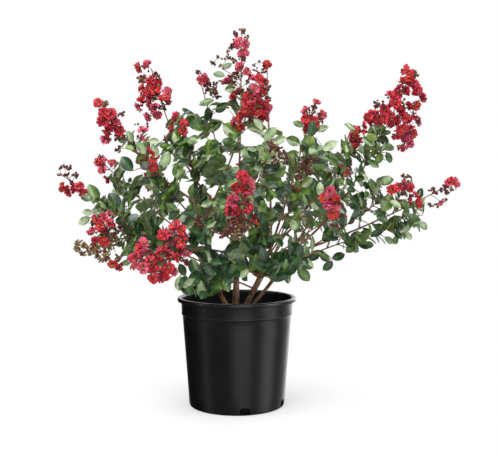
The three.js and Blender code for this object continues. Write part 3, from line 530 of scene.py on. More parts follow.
class Space:
    """Tells which shoot a point is nearest to, and how far it is from the stems and boughs."""

    def __init__(self, shoots, limb_lines):
        self.starts, self.ends = pieces_of([line for shoot in shoots for line in shoot.lines])
        self.owner = np.array([shoot.number for shoot in shoots for line in shoot.lines for _ in line[1:]])
        self.limb_starts, self.limb_ends = pieces_of(limb_lines)
        places, sizes, _, reds = zip(*[cluster for shoot in shoots for cluster in shoot.clusters])
        self.clusters, self.cluster_sizes = np.array(places), np.array(sizes)
        views = [CLUSTER_VIEW if red else PLAIN_VIEW for red in reds]
        self.cluster_fronts = self.clusters - np.outer(views, (0, 1, 0))

    def near_clusters(self, points):
        """Whether any of the points is in a cluster of flowers or stands in front of one."""
        gaps = distances(points, self.clusters, self.cluster_fronts)
        return bool((gaps < self.cluster_sizes + CLUSTER_CLEAR).any())

    def holds(self, shoot, points, margin, clearance):
        """Whether all the points are nearer to their own shoot than to others, and clear of the limbs."""
        gaps = distances(points, self.starts, self.ends)
        own = gaps[:, self.owner == shoot.number].min(1)
        other = gaps[:, self.owner != shoot.number].min(1)
        limb = distances(points, self.limb_starts, self.limb_ends).min(1)
        return bool((other > own + margin).all() and (limb > clearance).all())


def grow_twigs(shoots, limb_lines):
    """Side twigs keep nearer to their own axis than to any other, and clear of stems and boughs."""
    grow_end_twigs(shoots)
    space = Space(shoots, limb_lines)
    for shoot in shoots:
        leafy = (shoot.leafy_to - shoot.leafy_from) * shoot.length
        count = max(math.floor(leafy / TWIG.spacing + 0.5), 2)
        for twig in range(count):
            for curve in twig_curves(shoot, twig, count):
                points = stretch(curve, 0, 1, 4)[1:]
                free = space.holds(shoot, points, TWIG.clearance, STEM.foot + TWIG.clearance)
                if free and not in_opening(points[1:]):
                    shoot.twigs.append(SimpleNamespace(curve=curve, leaf=None))
                    break
        shoot.lines += [np.array([twig.curve[0], twig.curve[2]]) for twig in shoot.twigs]


# ---- Finer growth: sprigs on the twigs, with the leaves in two rows ----

SPRIG = SimpleNamespace(
    lowest=0.22, spacing=18 * MM, longest=60 * MM, shortest=30 * MM, lean=50, lean_spread=12, turn_spread=50,
    lengths=(0.8, 1.15), rise=0.2, bend=0.08, clearance=2 * MM, foot=0.8 * MM, tip=0.5 * MM, sides=4,
    on_twigs=(0.15, 0.9), places=(0.3, 0.7),
)
LEAF = SimpleNamespace(
    length=44 * MM, width=27 * MM, pair=21.5 * MM, lowest=268 * MM, apart=8.5 * MM, clearance=3 * MM,
    overlap=2 * MM, spread=58, spread_by=14, tip_spread=(5, 25), turn=20, turn_by=30, hang=0.3, face_up=0.3,
    face_by=0.38, sizes=(0.72, 1.18), least_size=0.77, more_at_ends=1.36, at_pair=0.35, second=0.3,
    last=0.99, checked_width=0.4,
)
# How much of the way out of the crown counts sideways and upwards in the direction that leaves face.
LEAF_FACING = np.array([1.0, 1.0, 0.35])
# Sizes of the leaves at the foot and tip of an axis, a twig and a sprig.
AXIS_LEAVES, TWIG_LEAVES, SPRIG_LEAVES = (1.15, 0.9), (1.08, 0.85), (0.92, 0.68)
# The stretch of a twig, of a rim leaf's twig and of a sprig that carries leaves.
LEAFY_TWIG, LEAFY_RIM_TWIG, LEAFY_SPRIG = (0.12, 0.95), (0.12, 0.8), (0.15, 0.95)
# Which way the leaves at the rim face, how much that strays, and how likely a half is painted paler as a
# painted sheen.
RIM_FACING, RIM_STRAY, RIM_LIT = np.array([0, -1, 0.25]), 0.25, (0.5, 0.5)
# Leaves keep this far from a cluster of flowers, and leave a listed one open to the front for this far.
CLUSTER_CLEAR, PLAIN_VIEW, CLUSTER_VIEW = 1 * MM, 1 * MM, 90 * MM
# The blades' dark and light tones. Leaves name their shade by its number in this list.
LEAF_TONES = {
    "leaf_deep_green": ((18, 38, 20), (50, 82, 50)),
    "leaf_green": ((42, 72, 26), (98, 128, 62)),
    # Partly the leaves' own grey tone and partly painted sheen.
    "leaf_grey_green": ((76, 104, 64), (156, 177, 132)),
    # Partly the young leaves' own tone and partly painted light shining through them.
    "leaf_young_green": ((56, 92, 16), (122, 154, 56)),
    # Painted sheen: the whitish gloss of a leaf that faces the light.
    "leaf_pale_sheen_green": ((106, 130, 86), (192, 206, 170)),
}
DEEP, YOUNG = 0, 3
# How likely a leaf keeps the shade of its spray, and how likely one of its halves is painted paler as a
# painted sheen, low in the crown and how much more so high in it.
KEEPS_SHADE, YOUNG_TIPS = 0.45, 0.3
LIT, LIT_HIGH, BRIGHT_HIGH = 0.18, 0.28, 0.6
# The paler shade painted on a half as its painted sheen, for each shade.
LIT_HALF = np.array([1, 2, 4, 2, 4])
# Share of the sprigs that is left out at these heights.
THIN = SimpleNamespace(heights=np.array([360, 450, 580, 680]) * MM, shares=(0, 0.4, 0.4, 0.05))
# How often each shade is dealt low in the crown and high in it. The deep greens low down are partly painted
# shade, and the paler greens high up partly painted light.
SHADES_LOW = np.array([0.82, 0.15, 0.03, 0, 0])
SHADES_HIGH = np.array([0.33, 0.34, 0.16, 0.15, 0.02])
CROWN_LOW, CROWN_HIGH = 340 * MM, 660 * MM
# Twigs above this height are green.
PALE_TWIGS = 610 * MM


def grow_sprigs(shoot, space, rng):
    """Short side sprigs of the twigs and of the axis, to one side and the other."""
    sprigs = []
    parents = [(twig, twig.curve, *SPRIG.on_twigs) for twig in shoot.twigs if not twig.leaf]
    parents.append((None, shoot.curve, SPRIG.lowest, shoot.leafy_to))
    for parent, curve, first, last in parents:
        length = np.linalg.norm(curve[2] - curve[0]) * (last - first)
        count = max(int(length / SPRIG.spacing), 1)
        for i in range(count):
            along = (i + rng.uniform(*SPRIG.places)) / count
            share = between(first, last, along)
            root = point_at(curve, share)
            ahead = heading_at(curve, share)
            outward = turned(ahead, 180 * i + either_way(rng, SPRIG.turn_spread))
            lean = SPRIG.lean + either_way(rng, SPRIG.lean_spread)
            heading = unit(leaning(ahead, outward, lean) + UP * SPRIG.rise)
            reach = between(SPRIG.longest, SPRIG.shortest, along) * rng.uniform(*SPRIG.lengths)
            end = root + heading * reach
            bend = (root + end) / 2 + unit(rng.normal(size=3)) * reach * SPRIG.bend
            checked = np.array([bend, end])
            left_out = rng.random() < np.interp(end[2], THIN.heights, THIN.shares)
            if left_out or end[2] < LEAF.lowest or in_opening(checked):
                continue
            if space.holds(shoot, checked, 0, STEM.foot + SPRIG.clearance):
                sprigs.append(SimpleNamespace(curve=(root, bend, end), parent=parent, share=share))
    return sprigs


def leaf_sprays(shoot, sprigs):
    """Stretches of the shoot that carry leaves: curve, first and last share, sizes at both, tip leaf."""
    last = 1 - shoot.blossom[0] * MM * shoot.drawn_out / shoot.length if shoot.blossom else 1
    sprays = [(shoot.curve, shoot.leafy_from, last, AXIS_LEAVES, not shoot.blossom)]
    for twig in shoot.twigs:
        if twig.leaf:
            sprays.append((twig.curve, *LEAFY_RIM_TWIG, SPRIG_LEAVES, False))
        else:
            sprays.append((twig.curve, *LEAFY_TWIG, TWIG_LEAVES, True))
    return sprays + [(sprig.curve, *LEAFY_SPRIG, SPRIG_LEAVES, True) for sprig in sprigs]


def rim_leaf(leaf, rng):
    """A leaf at the rim, turned roughly to the front."""
    foot, tip, shade = leaf
    facing = RIM_FACING + rng.normal(scale=RIM_STRAY, size=3)
    size = np.linalg.norm(tip - foot) / LEAF.length
    return foot, unit(tip - foot), facing, size, lit_halves(shade, *RIM_LIT, rng), rng.uniform(size=4)


def lit_halves(shade, likely, rise, rng):
    """The shades of both halves of a leaf, one of which may be painted paler as a painted sheen."""
    halves = [shade, shade]
    if rng.random() < likely:
        lit = LIT_HALF[shade]
        halves[rng.integers(0, 2)] = LIT_HALF[lit] if rng.random() < rise else lit
    return halves


def grow_leaves(shoot, sprays, space, taken, rng):
    """Leaves in nearly opposite pairs, facing outwards, and how far along each spray they reach."""
    leaves = [rim_leaf(twig.leaf, rng) for twig in shoot.twigs if twig.leaf]
    reached = np.zeros(len(sprays))
    for spray, (curve, first, last, (size_first, size_last), tip_leaf) in enumerate(sprays):
        length = np.linalg.norm(curve[2] - curve[0]) * (last - first)
        pairs = max(round(length / (LEAF.pair * size_first)), 1)
        # Higher sprays are dealt paler greens: partly painted light high in the crown, partly painted shade low
        # in it.
        rise = np.clip((curve[2][2] - CROWN_LOW) / (CROWN_HIGH - CROWN_LOW), 0, 1)
        shades = between(SHADES_LOW, SHADES_HIGH, rise)
        shade = rng.choice(5, p=shades)
        quarter = either_way(rng, LEAF.turn)
        for i in range(2 * pairs + int(tip_leaf)):
            at_tip = i == 2 * pairs
            along = 1.0 if at_tip else (i // 2 + LEAF.at_pair + LEAF.second * (i % 2)) / pairs
            share = min(between(first, last, along), LEAF.last)
            root = point_at(curve, share)
            ahead = heading_at(curve, share)
            outside = unit((root - CROWN_HEART) * LEAF_FACING) + UP * LEAF.face_up
            row = np.cross(ahead, unit(outside)) * (-1) ** i
            angle = math.radians(quarter + either_way(rng, LEAF.turn_by))
            outward = unit(row * math.cos(angle) + np.cross(ahead, row) * math.sin(angle) + ahead * 0.01)
            spread = rng.uniform(*LEAF.tip_spread) if at_tip else LEAF.spread + either_way(rng, LEAF.spread_by)
            heading = unit(leaning(ahead, outward, spread) - UP * rng.uniform(0.0, LEAF.hang))
            size = between(size_first, size_last, along) * rng.uniform(*LEAF.sizes)
            size *= LEAF.least_size + LEAF.more_at_ends * (rise - 0.5) ** 2
            facing = outside + rng.normal(scale=LEAF.face_by, size=3)
            middle = root + heading * LEAF.length * size * 0.5
            end = root + heading * LEAF.length * size
            if min(end[2], middle[2]) < LEAF.lowest:
                continue
            if not space.holds(shoot, middle[None], -LEAF.overlap, STEM.foot + LEAF.clearance):
                continue
            half = unit(np.cross(facing, heading)) * LEAF.width * size * LEAF.checked_width
            outline = np.array([middle, middle + half, middle - half, (middle + end) / 2, end])
            if in_opening(outline) or space.near_clusters(outline):
                continue
            if taken and np.linalg.norm(np.array(taken) - middle, axis=1).min() < LEAF.apart * size:
                continue
            taken.append(middle)
            own_shade = shade if rng.random() < KEEPS_SHADE else rng.choice(5, p=shades)
            if at_tip and rng.random() < YOUNG_TIPS * rise:
                own_shade = YOUNG
            # One half may take a paler shade, a painted sheen, more often high in the crown.
            halves = lit_halves(own_shade, LIT + LIT_HIGH * rise, BRIGHT_HIGH * rise, rng)
            leaves.append((root, heading, facing, size, halves, rng.uniform(size=4)))
            reached[spray] = share
    return leaves, reached


# ---- Flower heads ----

PANICLE = SimpleNamespace(
    step=8 * MM, turn_spread=15, lean=(80, 24), stray=0.12, least=8 * MM, reach=(0.6, 1.0), bend=(0.6, 0.15),
    cluster=15 * MM, beyond=17 * MM, stalk=8 * MM, stalks=(0.8, 1.6), apart=12.5 * MM, open_share=(0.8, 0.5),
    crowded_out=0.55, taper=(1.35, 1.15), ray=(0.8, 0.25, 1.05), at_end=(3, 6), further_in=(2, 5),
)
# Heads without a list that carry only buds.
BUD_HEADS = ("inner_front",)
# The listed clusters: share of the head's length where their branches start, how much nearer a branch
# has to be than the axis, their number of open flowers and of buds, how far these stand out.
SPRAY = SimpleNamespace(
    longer=1.6, lowest=0.2, steps=30, back=0.5, nearer=0.75, foot=0.45, bend=0.06, open_least=0.8,
    open_radius=15 * MM, crowding=0.35, bud_least=0.8, buds=0.062, open_out=0.75, bud_out=0.3, flat=12 * MM,
    rise=0.8, bud_rise=(0.35, 0.95), down=0.2,
)
STALK_BEND = UP * 0.6 * MM
REDS = ("crimson", "scarlet", "rose")


def grow_panicle(shoot, rng):
    """A head without a list: side branches round the axis with clusters of flowers and buds along them.

    Returns the stalks as lines, the blooms as place, direction, open or not and red, and the share of
    the shoot that its axis reaches."""
    length, width = shoot.blossom[0] * MM, shoot.blossom[1] * MM
    open_share = (0, 0) if shoot.name in BUD_HEADS else PANICLE.open_share
    span = np.linalg.norm(shoot.curve[2] - shoot.curve[0])
    first, last = 1 - length / span, 1 - PANICLE.beyond / span
    stalks, blooms, centres = [], [], []
    steps = max(int(length / PANICLE.step), 3)
    for i in range(steps):
        along = min((i + rng.uniform(0.2, 0.8)) / steps, 1)
        share = between(first, last, along)
        root = point_at(shoot.curve, share)
        ahead = heading_at(shoot.curve, share)
        outward = turned(ahead, GOLDEN * i + either_way(rng, PANICLE.turn_spread))
        lean = between(*PANICLE.lean, along)
        heading = unit(leaning(ahead, outward, lean) + rng.normal(scale=PANICLE.stray, size=3))
        taper = min(1.0, PANICLE.taper[0] - PANICLE.taper[1] * along)
        reach = max(width / 2 - PANICLE.stalk, PANICLE.least) * taper * rng.uniform(*PANICLE.reach)
        end = root + heading * reach + ahead * reach * PANICLE.bend[1]
        branch = (root, root + heading * reach * PANICLE.bend[0], end)
        stalks.append(stretch(branch, 0, 1, 3))
        clusters = max(round(reach / PANICLE.cluster), 1)
        for cluster in range(clusters):
            for _ in range(rng.integers(*(PANICLE.further_in if cluster else PANICLE.at_end))):
                foot = point_at(branch, 1 - (cluster + rng.uniform(0, 0.6)) / (clusters + 0.5))
                out, up, stray = PANICLE.ray
                ray = unit(heading * out + ahead * up + unit(rng.normal(size=3)) * stray)
                place = foot + ray * PANICLE.stalk * rng.uniform(*PANICLE.stalks)
                is_open = rng.random() < between(*open_share, along)
                gap = np.linalg.norm(np.array(centres) - place, axis=1).min() if centres else 1
                if is_open and gap < PANICLE.apart:
                    if rng.random() < PANICLE.crowded_out:
                        continue
                    is_open = False
                if is_open:
                    centres.append(place)
                stalks.append(np.array([foot, (foot + place) / 2 + STALK_BEND, place]))
                blooms.append((place, ray, is_open, REDS[0]))
    return stalks, blooms, 1


def grow_clusters(shoot, rng):
    """A head from its listed clusters: a branch to each, with its flowers and buds on short stalks."""
    reach = np.linalg.norm(shoot.curve[2] - shoot.curve[0])
    first, steps = max(1 - SPRAY.longer * shoot.blossom[0] * MM / reach, SPRAY.lowest), SPRAY.steps
    line = stretch(shoot.curve, first, 1, steps)
    spacing = reach * (1 - first) / steps
    gaps = [np.linalg.norm(line - cluster[0], axis=1) for cluster in shoot.clusters]
    # A head that points to the front is seen from its tip, where the flowers are crowded.
    crowding = 1 + SPRAY.crowding * shoot.to_front**4
    stalks, blooms, joints, highest = [], [], [], 0
    for number in np.argsort([gap.min() for gap in gaps]):
        place, radius, share_open, red = shoot.clusters[number]
        gap = gaps[number].min()
        step = max(gaps[number].argmin() - int(SPRAY.back * gap / spacing) - 1, 0)
        root, highest = line[step], max(step, highest)
        nearest = min(joints, key=lambda joint: np.linalg.norm(joint - place), default=root)
        if np.linalg.norm(nearest - place) < SPRAY.nearer * np.linalg.norm(root - place):
            root = nearest
        outward = unit(place - root)
        foot = place - outward * radius * SPRAY.foot
        stalks.append(stretch((root, (root + foot) / 2 + UP * SPRAY.bend * gap, foot), 0, 1, 4))
        joints += [stalks[-1][2], foot]
        open_count = share_open * (SPRAY.open_least + (radius / SPRAY.open_radius) ** 2) * crowding
        bud_count = (1 - share_open) * SPRAY.buds * (radius / MM) ** 2 + SPRAY.bud_least
        kinds = [True] * int(open_count + rng.random()) + [False] * int(bud_count + rng.random())
        for is_open in kinds:
            ray = unit(outward * (SPRAY.open_out if is_open else SPRAY.bud_out) + unit(rng.normal(size=3)))
            if is_open:
                rise = max(radius - SPRAY.flat, 0) * SPRAY.rise
            else:
                rise = radius * rng.uniform(*SPRAY.bud_rise)
            tip = place + ray * rise - outward * radius * SPRAY.down
            stalks.append(np.array([foot, (foot + tip) / 2 + STALK_BEND, tip]))
            blooms.append((tip, unit(tip - foot) * 0.6 + ray * 0.4, is_open, red))
    return stalks, blooms, first + (1 - first) * highest / steps


# ---- Materials ----

# Finishes: dark and light tone, roughness, scale of the mottling, and what differs from the usual.
FINISHES = {
    "bark": ((74, 46, 34), (146, 108, 82), 0.72, 26, {"stretch_by": (3, 3, 0.8)}),
    # The undersides' pale tones are partly their own and partly painted light shining through the leaf.
    "leaf_underside": ((86, 110, 62), (160, 180, 132), 0.6, 100, {"specular": 0.3}),
    "young_leaf_underside": ((136, 160, 82), (166, 186, 108), 0.6, 60, {"specular": 0.3}),
    "leaf_rib": ((110, 138, 84), (140, 162, 104), 0.5, 80, {}),
    "crimson_petal": ((196, 26, 50), (234, 76, 98), 0.55, 140, {"specular": 0.3}),
    "scarlet_petal": ((212, 32, 46), (241, 88, 92), 0.55, 140, {"specular": 0.3}),
    "rose_petal": ((214, 62, 98), (240, 122, 148), 0.55, 140, {"specular": 0.3}),
    "yellow_anther": ((216, 140, 20), (244, 186, 60), 0.6, 300, {}),
    "stamen_stalk": ((200, 80, 70), (226, 130, 90), 0.6, 300, {}),
    "calyx": ((112, 36, 36), (146, 62, 50), 0.5, 200, {}),
    "maroon_bud": ((64, 20, 26), (104, 40, 42), 0.42, 200, {}),
    "green_bud": ((104, 88, 50), (150, 134, 84), 0.5, 200, {}),
    "flower_stalk": ((118, 82, 54), (152, 118, 76), 0.6, 120, {}),
    "young_twig": ((104, 58, 38), (146, 98, 60), 0.6, 90, {"relief": 0.2 * MM}),
    "green_twig": ((118, 106, 66), (158, 144, 98), 0.6, 90, {"relief": 0.2 * MM}),
    "potting_mix": ((30, 19, 12), (62, 42, 28), 0.92, 120, {"specular": 0.2, "relief": 1.5 * MM}),
    # Near black: painted shade on the sides of the mix, where they show through the drain slots.
    "drain_shade_mix": ((8, 7, 6), (16, 13, 11), 0.8, 90, {"specular": 0.1}),
    "bark_chips": ((46, 28, 18), (104, 74, 50), 0.85, 45, {"specular": 0.3, "relief": 0.6 * MM}),
}
# The finer pattern of the bark, drawn out along the limb, its share and the tones of its flakes.
FLAKES = SimpleNamespace(
    scale=240, drawn_out=(1, 1, 0.3), share=0.35, strength=0.7, relief=0.8 * MM,
    tones=((0.45, (66, 40, 30)), (0.62, (112, 74, 54)), (0.8, (168, 132, 104))),
)
# The pot's plastic: its plain colour, the tones, scale and roughness of the dust on it, and its grain.
PLASTIC = SimpleNamespace(
    colour=(11, 11, 12), dust=((0.35, (9, 9, 10)), (0.75, (16, 16, 17))), dust_scale=9, dust_rough=0.05,
    grain_scale=420, grain_strength=0.25, grain=0.12 * MM,
)


def linear(red, green, blue):
    """A colour from its 0 to 255 screen values."""
    shares = [value / 255 for value in (red, green, blue)]
    return tuple(s / 12.92 if s <= 0.04045 else ((s + 0.055) / 1.055) ** 2.4 for s in shares) + (1.0,)


def add_node(tree, kind, inputs=None, **settings):
    """A new node with its settings. Each input is given a value, or the output that is linked to it."""
    made = tree.nodes.new(kind)
    for name, value in settings.items():
        setattr(made, name, value)
    for name, value in (inputs or {}).items():
        if isinstance(value, bpy.types.NodeSocket):
            tree.links.new(value, made.inputs[name])
        else:
            made.inputs[name].default_value = value
    return made


def calc(tree, operation, *values):
    return add_node(tree, "ShaderNodeMath", dict(enumerate(values)), operation=operation).outputs[0]


def map_range(tree, value, low=0.0, high=1.0, to_low=0.0, to_high=1.0, **settings):
    inputs = {"Value": value, "From Min": low, "From Max": high, "To Min": to_low, "To Max": to_high}
    return add_node(tree, "ShaderNodeMapRange", inputs, **settings).outputs["Result"]


def new_material(name, colour, roughness, specular=0.5):
    material = bpy.data.materials.new(name)
    material.use_nodes = True
    material.diffuse_color = colour
    shader = material.node_tree.nodes["Principled BSDF"]
    shader.inputs["Base Color"].default_value = colour
    shader.inputs["Roughness"].default_value = roughness
    shader.inputs["Specular IOR Level"].default_value = specular
    return material


def object_noise(tree, scale, detail=4.0, stretch_by=(1, 1, 1)):
    place = add_node(tree, "ShaderNodeTexCoord").outputs["Object"]
    mapped = add_node(tree, "ShaderNodeMapping", {"Vector": place, "Scale": stretch_by}).outputs["Vector"]
    inputs = {"Vector": mapped, "Scale": scale, "Detail": detail}
    return add_node(tree, "ShaderNodeTexNoise", inputs).outputs["Fac"]


def ramp(tree, source, *stops):
    """Colours over a pattern: each stop is a place and a screen colour."""
    node = add_node(tree, "ShaderNodeValToRGB", {"Fac": source})
    elements = node.color_ramp.elements
    while len(elements) < len(stops):
        elements.new(0.5)
    for element, (place, colour) in zip(elements, stops):
        element.position = place
        element.color = linear(*colour)
    return node.outputs["Color"]


def paint(tree, socket, source):
    tree.links.new(source, tree.nodes["Principled BSDF"].inputs[socket])


def raise_relief(tree, source, strength, depth):
    bump = add_node(tree, "ShaderNodeBump", {"Strength": strength, "Distance": depth, "Height": source})
    paint(tree, "Normal", bump.outputs["Normal"])


# Where the mottling is all dark and all light, how much smoother and rougher it makes the surface, and
# the strength of its relief.
MOTTLING = SimpleNamespace(dark=0.3, light=0.7, smoother=0.06, rougher=0.08, relief=0.6)


def mottled(name, dark, light, roughness, scale, specular=0.5, relief=0.0, stretch_by=(1, 1, 1)):
    """A material whose colour moves between two tones, with a fine relief."""
    middle = tuple((a + b) / 2 for a, b in zip(linear(*dark), linear(*light)))
    material = new_material(name, middle, roughness, specular)
    tree = material.node_tree
    source = object_noise(tree, scale, stretch_by=stretch_by)
    low, high = roughness - MOTTLING.smoother, roughness + MOTTLING.rougher
    paint(tree, "Base Color", ramp(tree, source, (MOTTLING.dark, dark), (MOTTLING.light, light)))
    paint(tree, "Roughness", map_range(tree, source, to_low=low, to_high=high))
    if relief:
        raise_relief(tree, source, MOTTLING.relief, relief)
    return material


# The blade's pattern: pairs of side veins, their slant and how fast the blade rises beside them, and how
# much darker it is at the margin, a painted shade round the painted sheen of the blade's middle, paler at the
# rib and darker between the veins.
VEINS = SimpleNamespace(
    pairs=6.0, slant=5.0, rise=5.0, margin=0.6, rib=0.27, between=0.15, strength=0.3, depth=0.2 * MM,
)
# Roughness of the blades and scale of their mottling, which is partly their own uneven tone and partly painted
# sheen.
BLADE_ROUGHNESS, BLADE_MOTTLING = 0.28, 80


def leaf_material(name, dark, light):
    """A blade with side veins that branch from the rib, read from its own map; its mottling is partly painted
    sheen.
    """
    material = mottled(name, dark, light, BLADE_ROUGHNESS, BLADE_MOTTLING)
    tree = material.node_tree
    blade = add_node(tree, "ShaderNodeUVMap", uv_map="blade").outputs["UV"]
    split = add_node(tree, "ShaderNodeSeparateXYZ", {0: blade}).outputs
    across = calc(tree, "ABSOLUTE", calc(tree, "SUBTRACT", split["X"], 0.5))
    back, along = calc(tree, "MULTIPLY", across, VEINS.slant), calc(tree, "MULTIPLY", split["Y"], VEINS.pairs)
    veins = calc(tree, "PINGPONG", calc(tree, "SUBTRACT", along, back), 0.5)
    height = calc(tree, "MINIMUM", calc(tree, "MULTIPLY", veins, VEINS.rise), 1.0)
    # The mottled tone, partly painted sheen, darker towards the margin as painted shade and paler at the rib
    # and veins.
    tone = tree.nodes["Noise Texture"].outputs["Fac"]
    tone = calc(tree, "SUBTRACT", tone, calc(tree, "MULTIPLY", across, VEINS.margin))
    tone = calc(tree, "ADD", tone, VEINS.rib)
    tone = calc(tree, "SUBTRACT", tone, calc(tree, "MULTIPLY", height, VEINS.between))
    tree.links.new(tone, tree.nodes["Color Ramp"].inputs["Fac"])
    raise_relief(tree, height, VEINS.strength, VEINS.depth)
    return material


def finish(name):
    dark, light, roughness, scale, others = FINISHES[name]
    return mottled(name, dark, light, roughness, scale, **others)


def bark_material():
    """Smooth brown bark with pale flakes, drawn out along the limb."""
    material = finish("bark")
    tree = material.node_tree
    coarse = tree.nodes["Noise Texture"].outputs["Fac"]
    fine = object_noise(tree, FLAKES.scale, detail=6.0, stretch_by=FLAKES.drawn_out)
    blend = calc(tree, "MULTIPLY_ADD", fine, FLAKES.share, coarse)
    paint(tree, "Base Color", ramp(tree, blend, *FLAKES.tones))
    raise_relief(tree, blend, FLAKES.strength, FLAKES.relief)
    return material


def pot_material(side, roughness, specular):
    """Black blow-moulded plastic: satin, with a faint grain and a little dust."""
    material = new_material("black_plastic_" + side, linear(*PLASTIC.colour), roughness, specular)
    tree = material.node_tree
    dust = object_noise(tree, PLASTIC.dust_scale, detail=6.0)
    low, high = roughness - PLASTIC.dust_rough, roughness + PLASTIC.dust_rough
    paint(tree, "Base Color", ramp(tree, dust, *PLASTIC.dust))
    paint(tree, "Roughness", map_range(tree, dust, to_low=low, to_high=high))
    grain = object_noise(tree, PLASTIC.grain_scale, detail=2.0)
    raise_relief(tree, grain, PLASTIC.grain_strength, PLASTIC.grain)
    return material


# ---- Meshes from arrays ----


class Shape:
    """A small mesh to be copied: corners of its faces, a kind for each face and a map of its points."""

    def __init__(self, faces, kinds=None, chart=None):
        self.corners = np.concatenate([np.array(face) for face in faces])
        self.sizes = np.array([len(face) for face in faces])
        self.kinds = np.array(kinds or [0] * len(faces))
        self.chart = None if chart is None else np.array(chart)[self.corners]


class Pile:
    """Collects shapes and makes one mesh of them."""

    def __init__(self):
        self.points, self.corners, self.sizes, self.kinds, self.charts = [], [], [], [], []
        self.count = 0

    def add(self, shape, points, kinds=None):
        """Adds copies: points are copies x points x 3, kinds are copies x kinds of face."""
        copies, per_copy = points.shape[:2]
        kinds = np.zeros((copies, 1), int) if kinds is None else kinds
        shift = self.count + per_copy * np.arange(copies)
        self.points.append(points.reshape(-1, 3))
        self.corners.append((shape.corners[None] + shift[:, None]).ravel())
        self.sizes.append(np.tile(shape.sizes, copies))
        self.kinds.append(kinds[:, shape.kinds].ravel())
        if shape.chart is not None:
            self.charts.append(np.tile(shape.chart, (copies, 1)))
        self.count += copies * per_copy

    def build(self, name, materials, sharp=None, chart=None):
        sizes = np.concatenate(self.sizes)
        corners = np.concatenate(self.corners)
        mesh = bpy.data.meshes.new(name)
        mesh.vertices.add(self.count)
        mesh.vertices.foreach_set("co", np.concatenate(self.points).astype(np.float32).ravel())
        mesh.loops.add(len(corners))
        mesh.loops.foreach_set("vertex_index", corners.astype(np.int32))
        mesh.polygons.add(len(sizes))
        mesh.polygons.foreach_set("loop_start", (np.cumsum(sizes) - sizes).astype(np.int32))
        for material in materials:
            mesh.materials.append(material)
        mesh.polygons.foreach_set("material_index", np.concatenate(self.kinds).astype(np.int32))
        mesh.update(calc_edges=True)
        if chart:
            layer = mesh.uv_layers.new(name=chart)
            layer.data.foreach_set("uv", np.concatenate(self.charts).astype(np.float32).ravel())
        mesh.shade_smooth()
        if sharp:
            mesh.set_sharp_from_angle(angle=math.radians(sharp))
        return new_piece(name, mesh)


def new_piece(name, data):
    """Puts a mesh, a light or a camera in the scene."""
    piece = bpy.data.objects.new(name, data)
    bpy.context.scene.collection.objects.link(piece)
    return piece


def settle(piece, slot, *nodes):
    """Gives a finished piece its body and hides the solids that it stands for. The slot is not used."""
    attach(piece, "root")
    if nodes:
        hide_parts(*nodes)


def limb_shape(rings, sides):
    faces = []
    for i in range(0, (rings - 1) * sides, sides):
        for k in range(sides):
            a, b = i + k, i + (k + 1) % sides
            faces.append((a, b, b + sides, a + sides))
    last = (rings - 1) * sides
    return Shape(faces + [tuple(range(sides - 1, -1, -1)), tuple(range(last, last + sides))])


def limb_points(line, radii, sides, relief=None):
    """Rings of points round a line. Relief gives a share of the radius for each ring and side."""
    ahead = np.gradient(line, axis=0)
    side = sideways(unit(ahead[0]))
    angles = 2 * math.pi * np.arange(sides) / sides
    rings = []
    for i, point in enumerate(line):
        heading = unit(ahead[i])
        side = unit(side - heading * side.dot(heading))
        other = np.cross(heading, side)
        radius = np.full(sides, radii[i]) if relief is None else radii[i] * relief[i]
        ring = np.outer(np.cos(angles) * radius, side) + np.outer(np.sin(angles) * radius, other)
        rings.append(point + ring)
    return np.concatenate(rings)


def tapered(size, line):
    """Radii that go from the foot's to the tip's along a line."""
    return np.linspace(size.foot, size.tip, len(line))


def placed_points(centre, *parts):
    """Points of each copy: its centre and what lies along its own directions, as amounts and direction."""
    points = centre[:, None]
    for amount, direction in parts:
        points = points + amount[..., None] * direction[:, None]
    return points


class Limbs:
    """Collects limbs, each with its number of rings and sides."""

    def __init__(self):
        self.pile = Pile()
        self.shapes = {}

    def add(self, line, radii, sides, kind=0, relief=None):
        key = (len(line), sides)
        if key not in self.shapes:
            self.shapes[key] = limb_shape(*key)
        self.pile.add(self.shapes[key], limb_points(line, radii, sides, relief)[None], np.array([[kind]]))


# ---- Stems and boughs ----

BARK = SimpleNamespace(
    ring_spacing=5 * MM, stem_sides=16, bough_sides=12, ridge=0.07, ridges=2.2, ridge_length=0.03, fine=2.7,
    knot=0.3, knot_reach=7 * MM, foot_in_soil=3 * MM, bough_foot=1.25, sharp=50,
)


def bark_relief(line, sides, seed):
    """Soft ridges that run along the limb, as shares of its radius."""
    angles = 2 * math.pi * np.arange(sides) / sides
    relief = np.ones((len(line), sides))
    for i, point in enumerate(line):
        for k, angle in enumerate(angles):
            round_limb = (BARK.ridges * math.cos(angle), BARK.ridges * math.sin(angle))
            place = Vector((*round_limb, point[2] / BARK.ridge_length + seed))
            relief[i, k] += BARK.ridge * (noise.noise(place) + 0.5 * noise.noise(place * BARK.fine))
    return relief


def knots(line, roots):
    """A swelling at each place where a shoot leaves the limb."""
    swelling = np.ones(len(line))
    for root in roots:
        gaps = np.linalg.norm(line - root, axis=1)
        swelling += BARK.knot * np.exp(-((gaps / BARK.knot_reach) ** 2))
    return np.minimum(swelling, 1 + BARK.knot)


